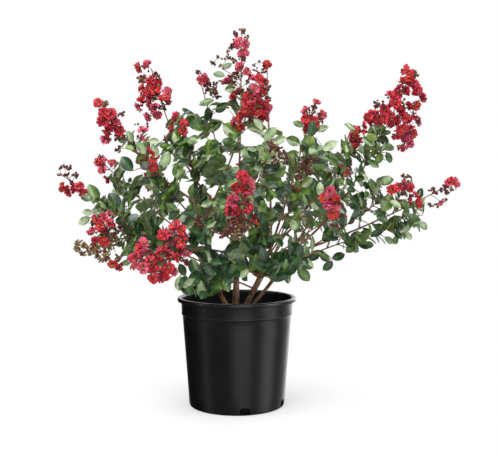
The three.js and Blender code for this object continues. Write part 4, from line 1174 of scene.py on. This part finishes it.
def make_stems(stems, shoots, material):
    limbs = Limbs()
    for number, (name, curve) in enumerate(stems.items()):
        length = np.linalg.norm(curve[2] - curve[0])
        line = stretch(curve, 0, 1, int(length / BARK.ring_spacing))
        line = np.vstack([line[0] - UP * BARK.foot_in_soil, line])
        rise = np.clip((line[:, 2] - curve[0][2]) / STEM.flare_height, 0, 1)
        share = np.clip((line[:, 2] - curve[0][2]) / (curve[2][2] - curve[0][2]), 0, 1)
        radii = between(STEM.foot, STEM.tip, share) * between(STEM.flare, 1, rise)
        radii *= knots(line, [point_at(curve, s.first) for s in shoots if s.stem == name and s.first < 1])
        limbs.add(line, radii, BARK.stem_sides, relief=bark_relief(line, BARK.stem_sides, 9.0 * number))
    piece = limbs.pile.build("stems", [material], sharp=BARK.sharp)
    settle(piece, "bark", *["stem_" + name for name in stems])


def make_boughs(shoots, material):
    limbs = Limbs()
    carried = [shoot for shoot in shoots if shoot.bare]
    for shoot in carried:
        line = stretch(shoot.curve, 0, shoot.bare, int(shoot.length * shoot.bare / BARK.ring_spacing))
        radii = tapered(BOUGH, line)
        radii[0] *= BARK.bough_foot
        limbs.add(line, radii, BARK.bough_sides, relief=bark_relief(line, BARK.bough_sides, 5.0 * shoot.number))
    piece = limbs.pile.build("boughs", [material], sharp=BARK.sharp)
    settle(piece, "bark", *["bough_" + shoot.name for shoot in carried])


# ---- Leaves ----

# Rows across the blade: share of its length, and half width as a share of the widest.
BLADE_ROWS = ((0.06, 0.34), (0.18, 0.69), (0.34, 0.93), (0.52, 1.0), (0.69, 0.9), (0.84, 0.62), (0.95, 0.25))
# Points of a row, from margin to margin. The middle two are the sides of the rib, which keeps its width.
BLADE_COLUMNS = (-1, -0.52, -0.035, 0.035, 0.52, 1)
BLADE_THICKNESS, KEEL = 0.35 * MM, 1.6
# How much the blade bends, with what luck adds to it.
BEND = SimpleNamespace(
    width=(0.9, 0.2), droop=(0.02, 0.3), fold=(0.16, 0.36), shorter=0.08, drop=0.6, curl=0.16, wave=0.06,
    waves=9,
)


def leaf_shape():
    """The blade as a closed thin shape. Kinds of face: left half, right half, rib, underside."""
    rows, columns = len(BLADE_ROWS), len(BLADE_COLUMNS)
    tip = 1 + rows * columns
    faces, kinds = [], []

    def strip(left, right, kind):
        """Faces from the foot to the tip between two lines of points, seen from the right side."""
        faces.append((0, left[0], right[0]))
        for row in range(rows - 1):
            faces.append((left[row], left[row + 1], right[row + 1], right[row]))
        faces.append((left[-1], tip, right[-1]))
        kinds.extend([kind] * (rows + 1))

    lines = [[1 + row * columns + column for row in range(rows)] for column in range(columns)]
    keel = [tip + 1 + row for row in range(rows)]
    for column in range(columns - 1):
        strip(lines[column], lines[column + 1], (0, 0, 2, 1, 1)[column])
    strip(keel, lines[0], 3)
    strip(lines[-1], keel, 3)

    points = [(0.0, 0.0, 0.0)]
    for share, half in BLADE_ROWS:
        points += [(share, column * half if abs(column) > 0.1 else column, 0.0) for column in BLADE_COLUMNS]
    points.append((1.0, 0.0, 0.0))
    points += [(share, 0.0, KEEL) for share, _ in BLADE_ROWS]
    along, across, below = np.array(points).T
    return Shape(faces, kinds, np.stack([0.5 + across / 2, along], axis=1)), along, across, below


def leaf_points(leaves, along, across, below):
    """Bends each copy of the blade: a fold along the rib, a droop, a curl and a waved margin."""
    root, heading, facing, size, _, luck = (np.array(values) for values in zip(*leaves))
    size = size[:, None]
    side = np.cross(facing, heading)
    side /= np.linalg.norm(side, axis=1)[:, None]
    face = np.cross(heading, side)

    length = LEAF.length * size
    half = LEAF.width / 2 * size * (BEND.width[0] + BEND.width[1] * luck[:, :1])
    droop = BEND.droop[0] + BEND.droop[1] * luck[:, 1:2]
    fold = BEND.fold[0] + BEND.fold[1] * luck[:, 2:3]
    phase = 2 * math.pi * luck[:, 3:4]
    x = length * (along - BEND.shorter * droop * along**2)
    y = half * across
    z = -droop * length * along**2 * BEND.drop + fold * half * np.abs(across) - BEND.curl * half * across**2
    z = z + BEND.wave * half * np.sin(BEND.waves * along + phase) * across**2 * np.sign(across + 0.01)
    z = z - BLADE_THICKNESS * below
    return placed_points(root, (x, heading), (y, side), (z, face))


def make_leaves(shoots, leaves_of):
    """One piece of leaves for each stem."""
    shape, along, across, below = leaf_shape()
    materials = [leaf_material(name, *tones) for name, tones in LEAF_TONES.items()]
    materials += [finish(name) for name in ("leaf_underside", "young_leaf_underside", "leaf_rib")]
    for stem in dict.fromkeys(shoot.stem for shoot in shoots):
        carried = [shoot for shoot in shoots if shoot.stem == stem]
        leaves = [leaf for shoot in carried for leaf in leaves_of[shoot.name]]
        left, right = np.array([leaf[4] for leaf in leaves]).T
        rib, under = np.where(left == DEEP, 1, 7), np.where(left == YOUNG, 6, 5)
        pile = Pile()
        pile.add(shape, leaf_points(leaves, along, across, below), np.stack([left, right, rib, under], axis=1))
        piece = pile.build("leaves_of_" + stem + "_stem", materials, sharp=60, chart="blade")
        settle(piece, "foliage", *["foliage_" + shoot.name for shoot in carried])


# ---- Flowers and buds ----

FLOWER = SimpleNamespace(
    petals=6, spread=72, spread_by=(-22, 16), twist=38, sizes=(0.7, 0.92), lobes=(0.95, 1.35), sepals=6,
    claw=(1.5 * MM, 7.5 * MM), claw_radius=0.5 * MM, blade_at=9.4 * MM, blade_by=(0.92, 1.1),
    blade=(6.8 * MM, 7.6 * MM), blade_sizes=(0.8, 1.12), inner=0.52, teeth=0.1, ragged=0.16,
    crinkle=1.2, wave=2.2 * MM, hollow=0.8 * MM, thickness=1.3 * MM,
)
# Heights and radii of the flower's cup and of a bud, from foot to top.
CALYX_PROFILE = ((-4.5, 0), (-4, 1), (-1.2, 2.8), (0.4, 3.1), (-0.4, 0))
BUD_PROFILE = ((-3.2, 0), (-2.6, 1.5), (-0.4, 3), (1.8, 2.3), (3.6, 0))
BUD_SIZES = (0.75, 1.1)
STAMEN = SimpleNamespace(
    count=8, length=7 * MM, lengths=(0.75, 1.1), spread=34, spread_by=(0.15, 1.0), turn=0.4, radius=0.22 * MM,
    anther=1.15 * MM,
)
# Points on the rim of a petal.
RIM = 14


def petal_shape():
    """A round crinkled blade: a middle, an inner ring of half as many points and a rim, closed below."""
    inner = RIM // 2
    rim = 1 + inner
    below = rim + RIM
    faces = []
    for i in range(inner):
        j = (i + 1) % inner
        a, b, c = rim + 2 * i, rim + 2 * i + 1, rim + (2 * i + 2) % RIM
        faces += [(0, 1 + i, 1 + j), (1 + i, a, b), (1 + i, b, 1 + j), (1 + j, b, c)]
    return Shape(faces + [(below, rim + (k + 1) % RIM, rim + k) for k in range(RIM)])


def petal_points(centre, radial, side, face, rng):
    """Copies of the blade, each crinkled in its own way."""
    count = len(centre)
    inner = RIM // 2
    teeth = (-1.0) ** np.arange(RIM)
    angles = np.concatenate([2 * math.pi * np.arange(inner) / inner, 2 * math.pi * np.arange(RIM) / RIM])
    radius = np.concatenate([np.full(inner, FLOWER.inner), np.ones(RIM)])[None] * np.ones((count, 1))
    radius *= rng.uniform(*FLOWER.blade_sizes, (count, 1))
    radius[:, inner:] *= 1 + FLOWER.teeth * teeth + either_way(rng, FLOWER.ragged, (count, RIM))
    height = either_way(rng, FLOWER.crinkle, (count, inner + RIM)) * MM
    height[:, inner:] += FLOWER.wave * teeth
    zero = np.zeros((count, 1))
    x = np.hstack([zero, FLOWER.blade[0] * radius * np.cos(angles), zero])
    y = np.hstack([zero, FLOWER.blade[1] * radius * np.sin(angles), zero])
    z = np.hstack([zero - FLOWER.hollow, height, zero - FLOWER.thickness])
    return placed_points(centre, (x, radial), (y, side), (z, face))


def ring_shape(sides, rings):
    """Rings of points from a foot to a top, closed by a point at each end."""
    last = 1 + (rings - 1) * sides
    faces = []
    for k in range(sides):
        after = (k + 1) % sides
        faces += [(0, 1 + after, 1 + k), (last + k, last + after, last + sides)]
        for ring in range(1, last, sides):
            faces.append((ring + k, ring + after, ring + after + sides, ring + k + sides))
    return Shape(faces)


def ring_points(centre, axis, profile, sides, lobes=1):
    """Copies of a shape of rings along an axis. The profile lists height and radius, from foot to top."""
    side = np.array([sideways(a) for a in axis])
    other = np.cross(axis, side)
    angles = 2 * math.pi * np.arange(sides) / sides
    points = [(centre + axis * profile[0][0])[:, None]]
    for i, (height, radius) in enumerate(profile[1:-1]):
        reach = radius * (lobes if i == len(profile) - 3 else 1)
        ring = (centre + axis * height)[:, None]
        for amount, direction in ((np.cos(angles), side), (np.sin(angles), other)):
            ring = ring + (amount * reach)[None, :, None] * direction[:, None]
        points.append(ring)
    points.append((centre + axis * profile[-1][0])[:, None])
    return np.concatenate(points, axis=1)


def radial_frames(axis, count, turn):
    """Directions square to each axis, `count` of them evenly round it."""
    side = np.array([sideways(a) for a in axis])
    other = np.cross(axis, side)
    angles = turn[:, None] + 2 * math.pi * np.arange(count)[None] / count
    out = np.cos(angles)[..., None] * side[:, None] + np.sin(angles)[..., None] * other[:, None]
    return out.reshape(-1, 3)


def resized(points, places, sizes):
    """Brings the points of each copy to its own size, round its place."""
    return places[:, None] + (points - places[:, None]) * sizes[:, None, None]


def in_mm(profile):
    return [(height * MM, radius * MM) for height, radius in profile]


def make_flowers(blooms, rng):
    """Open flowers: calyx, six clawed petals and a tuft of stamens."""
    places = np.array([bloom[0] for bloom in blooms])
    axes = np.array([unit(bloom[1]) for bloom in blooms])
    turn = rng.uniform(0, 2 * math.pi, len(blooms))
    sizes = rng.uniform(*FLOWER.sizes, len(blooms))
    lobes = np.tile(FLOWER.lobes, FLOWER.sepals)
    pile = Pile()
    pile.add(ring_shape(len(lobes), 3), ring_points(places, axes, in_mm(CALYX_PROFILE), len(lobes), lobes))
    settle(pile.build("calyxes", [finish("calyx")], sharp=60), "foliage")
    make_petals(places, axes, turn, sizes, np.array([bloom[2] for bloom in blooms]), rng)
    make_stamens(places, axes, turn + STAMEN.turn, rng)


def make_petals(places, axes, turn, sizes, reds, rng):
    """A piece for the petals of each red."""
    place, axis, size, red = (np.repeat(v, FLOWER.petals, axis=0) for v in (places, axes, sizes, reds))
    out = radial_frames(axes, FLOWER.petals, turn)
    tilt = np.radians(FLOWER.spread + rng.uniform(*FLOWER.spread_by, len(out)))[:, None]
    radial = out * np.sin(tilt) + axis * np.cos(tilt)
    side = np.cross(axis, out)
    twist = np.radians(either_way(rng, FLOWER.twist, len(out)))[:, None]
    face = np.cross(radial, side)
    side, face = side * np.cos(twist) + face * np.sin(twist), face * np.cos(twist) - side * np.sin(twist)
    reach = FLOWER.blade_at * rng.uniform(*FLOWER.blade_by, len(out))[:, None]
    blades = resized(petal_points(place + radial * reach, radial, side, face, rng), place, size)
    length, radius = FLOWER.claw[1] - FLOWER.claw[0], FLOWER.claw_radius
    profile = [(0, 0), (0.3 * MM, radius), (length, 1.5 * radius), (length + MM, 0)]
    claws = resized(ring_points(place + radial * FLOWER.claw[0], radial, profile, 3), place, size)
    for number, name in enumerate(REDS):
        pile = Pile()
        pile.add(petal_shape(), blades[red == number])
        pile.add(ring_shape(3, 2), claws[red == number])
        settle(pile.build(name + "_petals", [finish(name + "_petal")]), "foliage")


def make_stamens(places, axes, turn, rng):
    place, axis = (np.repeat(v, STAMEN.count, axis=0) for v in (places, axes))
    out = radial_frames(axes, STAMEN.count, turn)
    tilt = np.radians(STAMEN.spread * rng.uniform(*STAMEN.spread_by, len(out)))[:, None]
    ray = out * np.sin(tilt) + axis * np.cos(tilt)
    length = STAMEN.length * rng.uniform(*STAMEN.lengths, len(out))
    stalk = [(0, 0), (0.2 * MM, STAMEN.radius), (STAMEN.length * 0.8, STAMEN.radius), (STAMEN.length * 0.85, 0)]
    ball = [(-0.5 * STAMEN.anther, 0), (0, 0.75 * STAMEN.anther), (0.5 * STAMEN.anther, 0)]
    anthers = ring_points(place + ray * length[:, None], ray, ball, 4)
    pile = Pile()
    pile.add(ring_shape(3, 2), ring_points(place, ray, stalk, 3))
    pile.add(ring_shape(4, 1), anthers, np.ones((len(out), 1), int))
    settle(pile.build("stamens", [finish("stamen_stalk"), finish("yellow_anther")]), "foliage")


def make_buds(buds, rng):
    """Round buds with a small point, some of them gone to green capsules."""
    places = np.array([bud[0] for bud in buds])
    axes = np.array([unit(bud[1]) for bud in buds])
    sizes = rng.uniform(*BUD_SIZES, len(buds))
    points = resized(ring_points(places, axes, in_mm(BUD_PROFILE), 6), places, sizes)
    pile = Pile()
    pile.add(ring_shape(6, 3), points, np.array([[bud[2]] for bud in buds]))
    settle(pile.build("buds", [finish("maroon_bud"), finish("green_bud")]), "foliage")


# ---- The crown ----

# Branches and stalks of the flower heads, the chance that a flower has its cluster's red, and that a
# bud has gone to a green capsule, in a cluster of capsules and in another.
BRANCH = SimpleNamespace(foot=1.0 * MM, tip=0.5 * MM)
STALK = SimpleNamespace(foot=0.7 * MM, tip=0.5 * MM)
OWN_RED, GREEN_CAPSULES, GREEN_BUDS = 0.8, 0.7, 0.12
TWIG_BENDS = 0.8 * MM
SHOOT_SEED, FLOWER_SEED = 11, 29


def add_twigs(limbs, shoot, sprigs, reached, rng):
    """Twigs and sprigs, each as far as it carries leaves or sprigs."""
    of_sprigs = reached[1 + len(shoot.twigs):]
    for twig, far in zip(shoot.twigs, reached[1:]):
        carried = [sprig.share for sprig, leafy in zip(sprigs, of_sprigs) if leafy and sprig.parent is twig]
        far = 1 if twig.leaf else max([far] + carried)
        if far:
            line = stretch(twig.curve, 0, far, 4)
            line[1:-1] += rng.normal(scale=TWIG_BENDS, size=(3, 3))
            limbs.add(line, tapered(TWIG, line), TWIG.sides, int(line[2, 2] > PALE_TWIGS))
    for sprig, far in zip(sprigs, of_sprigs):
        if far:
            line = stretch(sprig.curve, 0, far, 3)
            limbs.add(line, tapered(SPRIG, line), SPRIG.sides, 1)


def make_crown(stems, shoots):
    limb_lines = [stretch(curve, 0, 1, STEM.steps) for curve in stems.values()]
    limb_lines += [stretch(shoot.curve, 0, shoot.bare, BOUGH.steps) for shoot in shoots if shoot.bare]
    grow_twigs(shoots, limb_lines)
    space = Space(shoots, limb_lines)
    twigs, stalk_limbs = Limbs(), Limbs()
    leaves_of, taken = {}, [(np.array(leaf[:3]) + leaf[3:6]) / 2 * MM for leaf in RIM_LEAVES]
    flowers, buds = [], []
    for shoot in shoots:
        rng = np.random.default_rng([SHOOT_SEED, shoot.number])
        sprigs = grow_sprigs(shoot, space, rng)
        leaves_of[shoot.name], reached = grow_leaves(shoot, leaf_sprays(shoot, sprigs), space, taken, rng)
        add_twigs(twigs, shoot, sprigs, reached, rng)
        stalks, blooms, top = [], [], 1
        if shoot.blossom:
            stalks, blooms, top = (grow_clusters if shoot.listed else grow_panicle)(shoot, rng)
        line = stretch(shoot.curve, shoot.bare, max(top, reached[0]), AXIS.rings)
        twigs.add(line, tapered(AXIS, line), AXIS.sides, int(line[AXIS.rings // 2, 2] > PALE_TWIGS))
        for line in stalks:
            stalk_limbs.add(line, tapered(BRANCH if len(line) > 4 else STALK, line), 3)
        for place, ray, is_open, red in blooms:
            if is_open:
                own_red = REDS.index(red) if red in REDS and rng.random() < OWN_RED else rng.integers(0, 3)
                flowers.append((place, ray, own_red))
            else:
                green = rng.random() < (GREEN_CAPSULES if red == "capsules" else GREEN_BUDS)
                buds.append((place, ray, int(green)))
    settle(twigs.pile.build("twigs", [finish("young_twig"), finish("green_twig")]), "bark")
    settle(stalk_limbs.pile.build("flower_stalks", [finish("flower_stalk")]), "foliage")
    make_leaves(shoots, leaves_of)
    rng = np.random.default_rng(FLOWER_SEED)
    make_flowers(flowers, rng)
    make_buds(buds, rng)


# ---- Pot ----

POT = SimpleNamespace(
    sides=160, rim_from=250 * MM, sharp=50, hole_count=6, hole_turn=-79.7, hole_from=102, hole_to=122,
    hole_foot=3.4, inside=1, rim=2,
)
# Sides of the pot: roughness and shine.
POT_SIDES = (("outside", 0.33, 0.4), ("inside", 0.6, 0.2), ("rim", 0.19, 0.7))
# Right half of the outline of a drain hole, up from its foot (mm).
HOLE = ((12, 0), (12, 9), (10.5, 12.5), (7, 14.6))
# Radius and height in millimetres, from the middle of the underside up the outside and down the inside.
POT_PROFILE = (
    (0, 0), (60, 0), (108.7, 0), (110.6, 0.5), (112.1, 1.8), (112.8, 4), (116.6, 56), (120.6, 110),
    (124.6, 164), (126.9, 195.1), (126.83, 195.8), (127.0, 196.5), (127.4, 201.6), (127.33, 202.4),
    (127.5, 203.2), (128.3, 213.2), (128.9, 214.6), (130.2, 215.4), (130.9, 216.6), (130.6, 218.2),
    (130.1, 219.4), (130.3, 222), (131.3, 244.2), (131.9, 245.4), (138.6, 245.6), (139.6, 246.1),
    (140, 247.1), (140, 250.4), (139.5, 252.6), (138.2, 254.3), (136.2, 255), (133.6, 254.9),
    (131.4, 254.2), (129.9, 252.7), (129.2, 250), (128.6, 240), (127.9, 220), (126.4, 215), (122.4, 164),
    (118.4, 110), (114.4, 56), (110.7, 5), (109, 3), (60, 3), (0, 3),
)


def lathe(profile, sides):
    """A closed round mesh from radius and height pairs whose first and last lie on the axis."""
    rings = [(radius * MM, height * MM) for radius, height in profile[1:-1]]
    angles = 2 * math.pi * np.arange(sides) / sides
    points = [(0, 0, profile[0][1] * MM)]
    for radius, height in rings:
        points += [(radius * math.cos(a), radius * math.sin(a), height) for a in angles]
    points.append((0, 0, profile[-1][1] * MM))
    pile = Pile()
    pile.add(ring_shape(sides, len(rings)), np.array(points)[None])
    return pile


def mesh_of(form, name):
    mesh = bpy.data.meshes.new(name)
    form.to_mesh(mesh)
    form.free()
    return mesh


def drain_cutter(degrees):
    """A rounded slot through the foot of the wall."""
    form = bmesh.new()
    outline = [(-HOLE[0][0], 0), *HOLE, *((-x, z) for x, z in HOLE[:0:-1])]
    near, far = (
        [form.verts.new((reach * MM, x * MM, (z + POT.hole_foot) * MM)) for x, z in outline]
        for reach in (POT.hole_from, POT.hole_to)
    )
    form.faces.new(near[::-1])
    form.faces.new(far)
    for i in range(len(outline)):
        j = (i + 1) % len(outline)
        form.faces.new((near[i], near[j], far[j], far[i]))
    turn = Matrix.Rotation(math.radians(degrees), 3, "Z")
    bmesh.ops.rotate(form, verts=form.verts, cent=(0, 0, 0), matrix=turn)
    bmesh.ops.recalc_face_normals(form, faces=form.faces)
    return new_piece("drain_slot", mesh_of(form, "drain_slot"))


def make_pot():
    finishes = [pot_material(*side) for side in POT_SIDES]
    pot = lathe(POT_PROFILE, POT.sides).build("nursery_pot", finishes, sharp=POT.sharp)
    for face in pot.data.polygons:
        if face.center.z > POT.rim_from:
            face.material_index = POT.rim
        elif face.normal.x * face.center.x + face.normal.y * face.center.y < 0:
            face.material_index = POT.inside
    cutters = [drain_cutter(POT.hole_turn + 360 / POT.hole_count * i) for i in range(POT.hole_count)]
    for cutter in cutters:
        cut = pot.modifiers.new("drain", "BOOLEAN")
        cut.operation = "DIFFERENCE"
        cut.solver = "EXACT"
        cut.object = cutter
    bake(pot)
    for cutter in cutters:
        bpy.data.objects.remove(cutter)
    pot.data.set_sharp_from_angle(angle=math.radians(POT.sharp))
    settle(pot, "pot", "pot")


def bake(piece):
    """Turns the modifiers' result into the piece's own mesh."""
    view = bpy.context.evaluated_depsgraph_get()
    view.update()
    done = bpy.data.meshes.new_from_object(piece.evaluated_get(view), depsgraph=view)
    piece.modifiers.clear()
    piece.data = done


# ---- Potting mix ----

# Radius and height of the body of the mix from its foot to its top (mm), and how its top is shaped.
MIX = SimpleNamespace(
    sides=72, foot=(108, 3.4), bend=(110.2, 6), edge=124.6, side_height=205, top=213, rings=24, relief=3.5 * MM,
    lump=0.018, fine=2.6, shade_below=205 * MM, rough_above=212 * MM, chips_at=215 * MM, chips_edge=3,
)
CHIPS = {"Density": 30000.0, "Chip Size": 4.4 * MM, "Spread": 3.0 * MM, "Seed": 5}
# Least and most of a chip's lift as a share of the spread, of its turn and of its size on each side, and
# how fine and how deep it is crumbled.
CHIP = SimpleNamespace(
    lift=(-0.5, 1.0), turns=((-0.5, -0.5, 0.0), (0.5, 0.5, 6.28)), grit=260.0, crumbled=3.0 * MM,
    sizes=((0.5, 0.35, 0.15), (1.6, 0.9, 0.45)),
)


def make_mix():
    """The body of the mix with an uneven top, and bark chips strewn over it."""
    (bend, low), edge = MIX.bend, MIX.edge
    side = [(bend + (edge - bend) * k / 4, low + MIX.side_height * k / 4) for k in range(1, 5)]
    top = [(edge * (1 - k / MIX.rings), MIX.top) for k in range(0, MIX.rings)]
    profile = [(0, MIX.foot[1]), MIX.foot, MIX.bend] + side + top + [(0, MIX.top)]
    body = lathe(profile, MIX.sides).build("potting_mix", [finish("potting_mix"), finish("drain_shade_mix")])
    # Below this height the sides take the near-black mix, a painted shade seen through the drain slots.
    for face in body.data.polygons:
        if face.center.z < MIX.shade_below:
            face.material_index = 1
    for vertex in body.data.vertices:
        if vertex.co.z > MIX.rough_above:
            place = Vector((vertex.co.x, vertex.co.y, 0)) / MIX.lump
            vertex.co.z += MIX.relief * (0.6 + noise.noise(place) + 0.5 * noise.noise(place * MIX.fine))
    settle(body, "soil", "soil")

    form = bmesh.new()
    bmesh.ops.create_circle(form, cap_ends=True, segments=48, radius=(edge - MIX.chips_edge) * MM)
    bmesh.ops.translate(form, verts=form.verts, vec=(0, 0, MIX.chips_at))
    chips = new_piece("bark_chips", mesh_of(form, "ground"))
    strew = chips.modifiers.new("strew", "NODES")
    strew.node_group = chip_tree()
    values = CHIPS | {"Material": finish("bark_chips")}
    for socket in strew.node_group.interface.items_tree:
        if socket.item_type == "SOCKET" and socket.in_out == "INPUT" and socket.name in values:
            strew[socket.identifier] = values[socket.name]
    bake(chips)
    settle(chips, "soil")


def chip_tree():
    """Strews flattened, crumbled chips of bark over a surface."""
    tree = bpy.data.node_groups.new("strewn_chips", "GeometryNodeTree")
    sockets = {
        "Geometry": "Geometry", "Density": "Float", "Chip Size": "Float", "Spread": "Float", "Seed": "Int",
        "Material": "Material",
    }
    for name, kind in sockets.items():
        tree.interface.new_socket(name, in_out="INPUT", socket_type="NodeSocket" + kind)
    tree.interface.new_socket("Geometry", in_out="OUTPUT", socket_type="NodeSocketGeometry")

    def node(kind, inputs=None, output=0, **settings):
        return add_node(tree, kind, inputs, **settings).outputs[output]

    def chosen(low, high):
        return node("FunctionNodeRandomValue", {0: low, 1: high}, data_type="FLOAT_VECTOR")

    given = add_node(tree, "NodeGroupInput").outputs
    strewn = {"Mesh": given["Geometry"], "Density": given["Density"], "Seed": given["Seed"]}
    points = node("GeometryNodeDistributePointsOnFaces", strewn, "Points")
    chip = node("GeometryNodeMeshIcoSphere", {"Subdivisions": 1, "Radius": given["Chip Size"]}, "Mesh")
    lifts = {"Min": CHIP.lift[0], "Max": CHIP.lift[1], "Seed": given["Seed"]}
    lift = node("FunctionNodeRandomValue", lifts, 1, data_type="FLOAT")
    offset = node("ShaderNodeCombineXYZ", {"Z": calc(tree, "MULTIPLY", lift, given["Spread"])})
    raised = node("GeometryNodeSetPosition", {"Geometry": points, "Offset": offset})
    copies = node("GeometryNodeInstanceOnPoints", {
        "Points": raised, "Instance": chip, "Rotation": chosen(*CHIP.turns), "Scale": chosen(*CHIP.sizes),
    })
    real = node("GeometryNodeRealizeInstances", {"Geometry": copies})
    grit = node("ShaderNodeTexNoise", {"Scale": CHIP.grit}, "Color")
    centred = node("ShaderNodeVectorMath", {0: grit, 1: (0.5, 0.5, 0.5)}, operation="SUBTRACT")
    crumbs = node("ShaderNodeVectorMath", {0: centred, "Scale": CHIP.crumbled}, operation="SCALE")
    crumbled = node("GeometryNodeSetPosition", {"Geometry": real, "Offset": crumbs})
    dressed = node("GeometryNodeSetMaterial", {"Geometry": crumbled, "Material": given["Material"]})
    add_node(tree, "NodeGroupOutput", {"Geometry": dressed})
    return tree


# ---- Studio ----

# Lights: name, place, height that they point at over the middle, width and height, power.
LIGHTS = (
    ("key", (-0.9, -1.3, 2.4), 0.5, (1.4, 1.4), 46),
    ("right_box", (1.62, -0.52, 0.3), 0.3, (0.9, 3.0), 13.6),
    ("front_box", (0.5, -2.3, 0.2), 0.2, (1.6, 3.0), 15),
    ("left_strip", (-1.5, -0.55, 0.3), 0.3, (0.15, 3.0), 1.6),
    ("back_box", (0.9, 1.7, 0.35), 0.3, (0.6, 2.0), 5),
)
CAMERA = SimpleNamespace(place=(0.031, -1.819, 0.4914), tilt=0.0410, lens=55.56, sensor=36)
WHITE = (1, 1, 1, 1)
# The light of the surround: how it grows with height, and the directions of its bright and its dark side.
# Each stretch is given as from low, from high, to low, to high.
DOME = SimpleNamespace(
    growth=(-0.05, 0.8, 0.14, 1.2), bright=(0.3, 0.95, 0), brightens=(0.6, 0.95, 0.0, 0.7),
    dark=(-0.85, 0.53, 0), darkens=(0.66, 0.85, 1.0, 0.05),
)
FLOOR = SimpleNamespace(colour=(0.9, 0.9, 0.9, 1), roughness=0.9, fade=(-0.1, 0.4), reach=6)


def area_light(name, place, aim, size, power):
    light = bpy.data.lights.new(name, "AREA")
    light.shape = "RECTANGLE"
    light.size, light.size_y = size
    light.energy = power
    lamp = new_piece(name, light)
    lamp.location = place
    lamp.rotation_euler = (Vector((0, 0, aim)) - Vector(place)).to_track_quat("-Z", "Y").to_euler()


def make_world():
    """White to look at, while the plant is lit as by a large soft box overhead, darker near the ground."""
    world = bpy.data.worlds.new("studio_dome")
    world.use_nodes = True
    tree = world.node_tree
    ray = add_node(tree, "ShaderNodeTexCoord").outputs["Generated"]

    def towards(direction):
        node = add_node(tree, "ShaderNodeVectorMath", {0: ray, 1: direction}, operation="DOT_PRODUCT")
        return node.outputs["Value"]

    height = add_node(tree, "ShaderNodeSeparateXYZ", {0: ray}).outputs["Z"]
    dome = map_range(tree, height, *DOME.growth)
    backdrop = map_range(tree, towards(DOME.bright), *DOME.brightens)
    dark_side = map_range(tree, towards(DOME.dark), *DOME.darkens)
    strength = calc(tree, "MULTIPLY", calc(tree, "ADD", dome, backdrop), dark_side)
    lit = tree.nodes["Background"]
    lit.inputs["Color"].default_value = WHITE
    tree.links.new(strength, lit.inputs["Strength"])
    seen = add_node(tree, "ShaderNodeBackground", {"Color": WHITE}).outputs[0]
    camera_ray = add_node(tree, "ShaderNodeLightPath").outputs["Is Camera Ray"]
    mix = add_node(tree, "ShaderNodeMixShader", {0: camera_ray, 1: lit.outputs[0], 2: seen}).outputs[0]
    tree.links.new(mix, tree.nodes["World Output"].inputs["Surface"])
    bpy.context.scene.world = world


def floor_material():
    """A matt white floor that fades into the white surround a little way from the pot."""
    material = new_material("white_floor", FLOOR.colour, FLOOR.roughness, 0.0)
    tree = material.node_tree
    place = add_node(tree, "ShaderNodeTexCoord").outputs["Object"]
    reach = add_node(tree, "ShaderNodeVectorMath", {0: place}, operation="LENGTH").outputs["Value"]
    fade = map_range(tree, reach, *FLOOR.fade, interpolation_type="SMOOTHSTEP")
    matt, white = tree.nodes["Principled BSDF"].outputs[0], add_node(tree, "ShaderNodeEmission").outputs[0]
    mix = add_node(tree, "ShaderNodeMixShader", {0: fade, 1: matt, 2: white}).outputs[0]
    tree.links.new(mix, tree.nodes["Material Output"].inputs["Surface"])
    return material


def make_studio():
    make_world()
    form = bmesh.new()
    bmesh.ops.create_grid(form, x_segments=1, y_segments=1, size=FLOOR.reach)
    floor = new_piece("floor", mesh_of(form, "floor"))
    floor.data.materials.append(floor_material())
    floor.visible_glossy = False
    floor.visible_shadow = False
    for light in LIGHTS:
        area_light(*light)
    camera = bpy.data.cameras.new("camera")
    camera.lens, camera.sensor_width = CAMERA.lens, CAMERA.sensor
    seen_from = new_piece("camera", camera)
    seen_from.location = CAMERA.place
    seen_from.rotation_euler = (math.pi / 2 - CAMERA.tilt, 0, 0)
    bpy.context.scene.camera = seen_from
    bpy.context.scene.view_settings.view_transform = "Standard"


# ---- The whole plant ----

make_studio()
bark = bark_material()
stem_curves = grow_stems()
all_shoots = grow_shoots(stem_curves)
make_pot()
make_mix()
make_stems(stem_curves, all_shoots, bark)
make_boughs(all_shoots, bark)
make_crown(stem_curves, all_shoots)
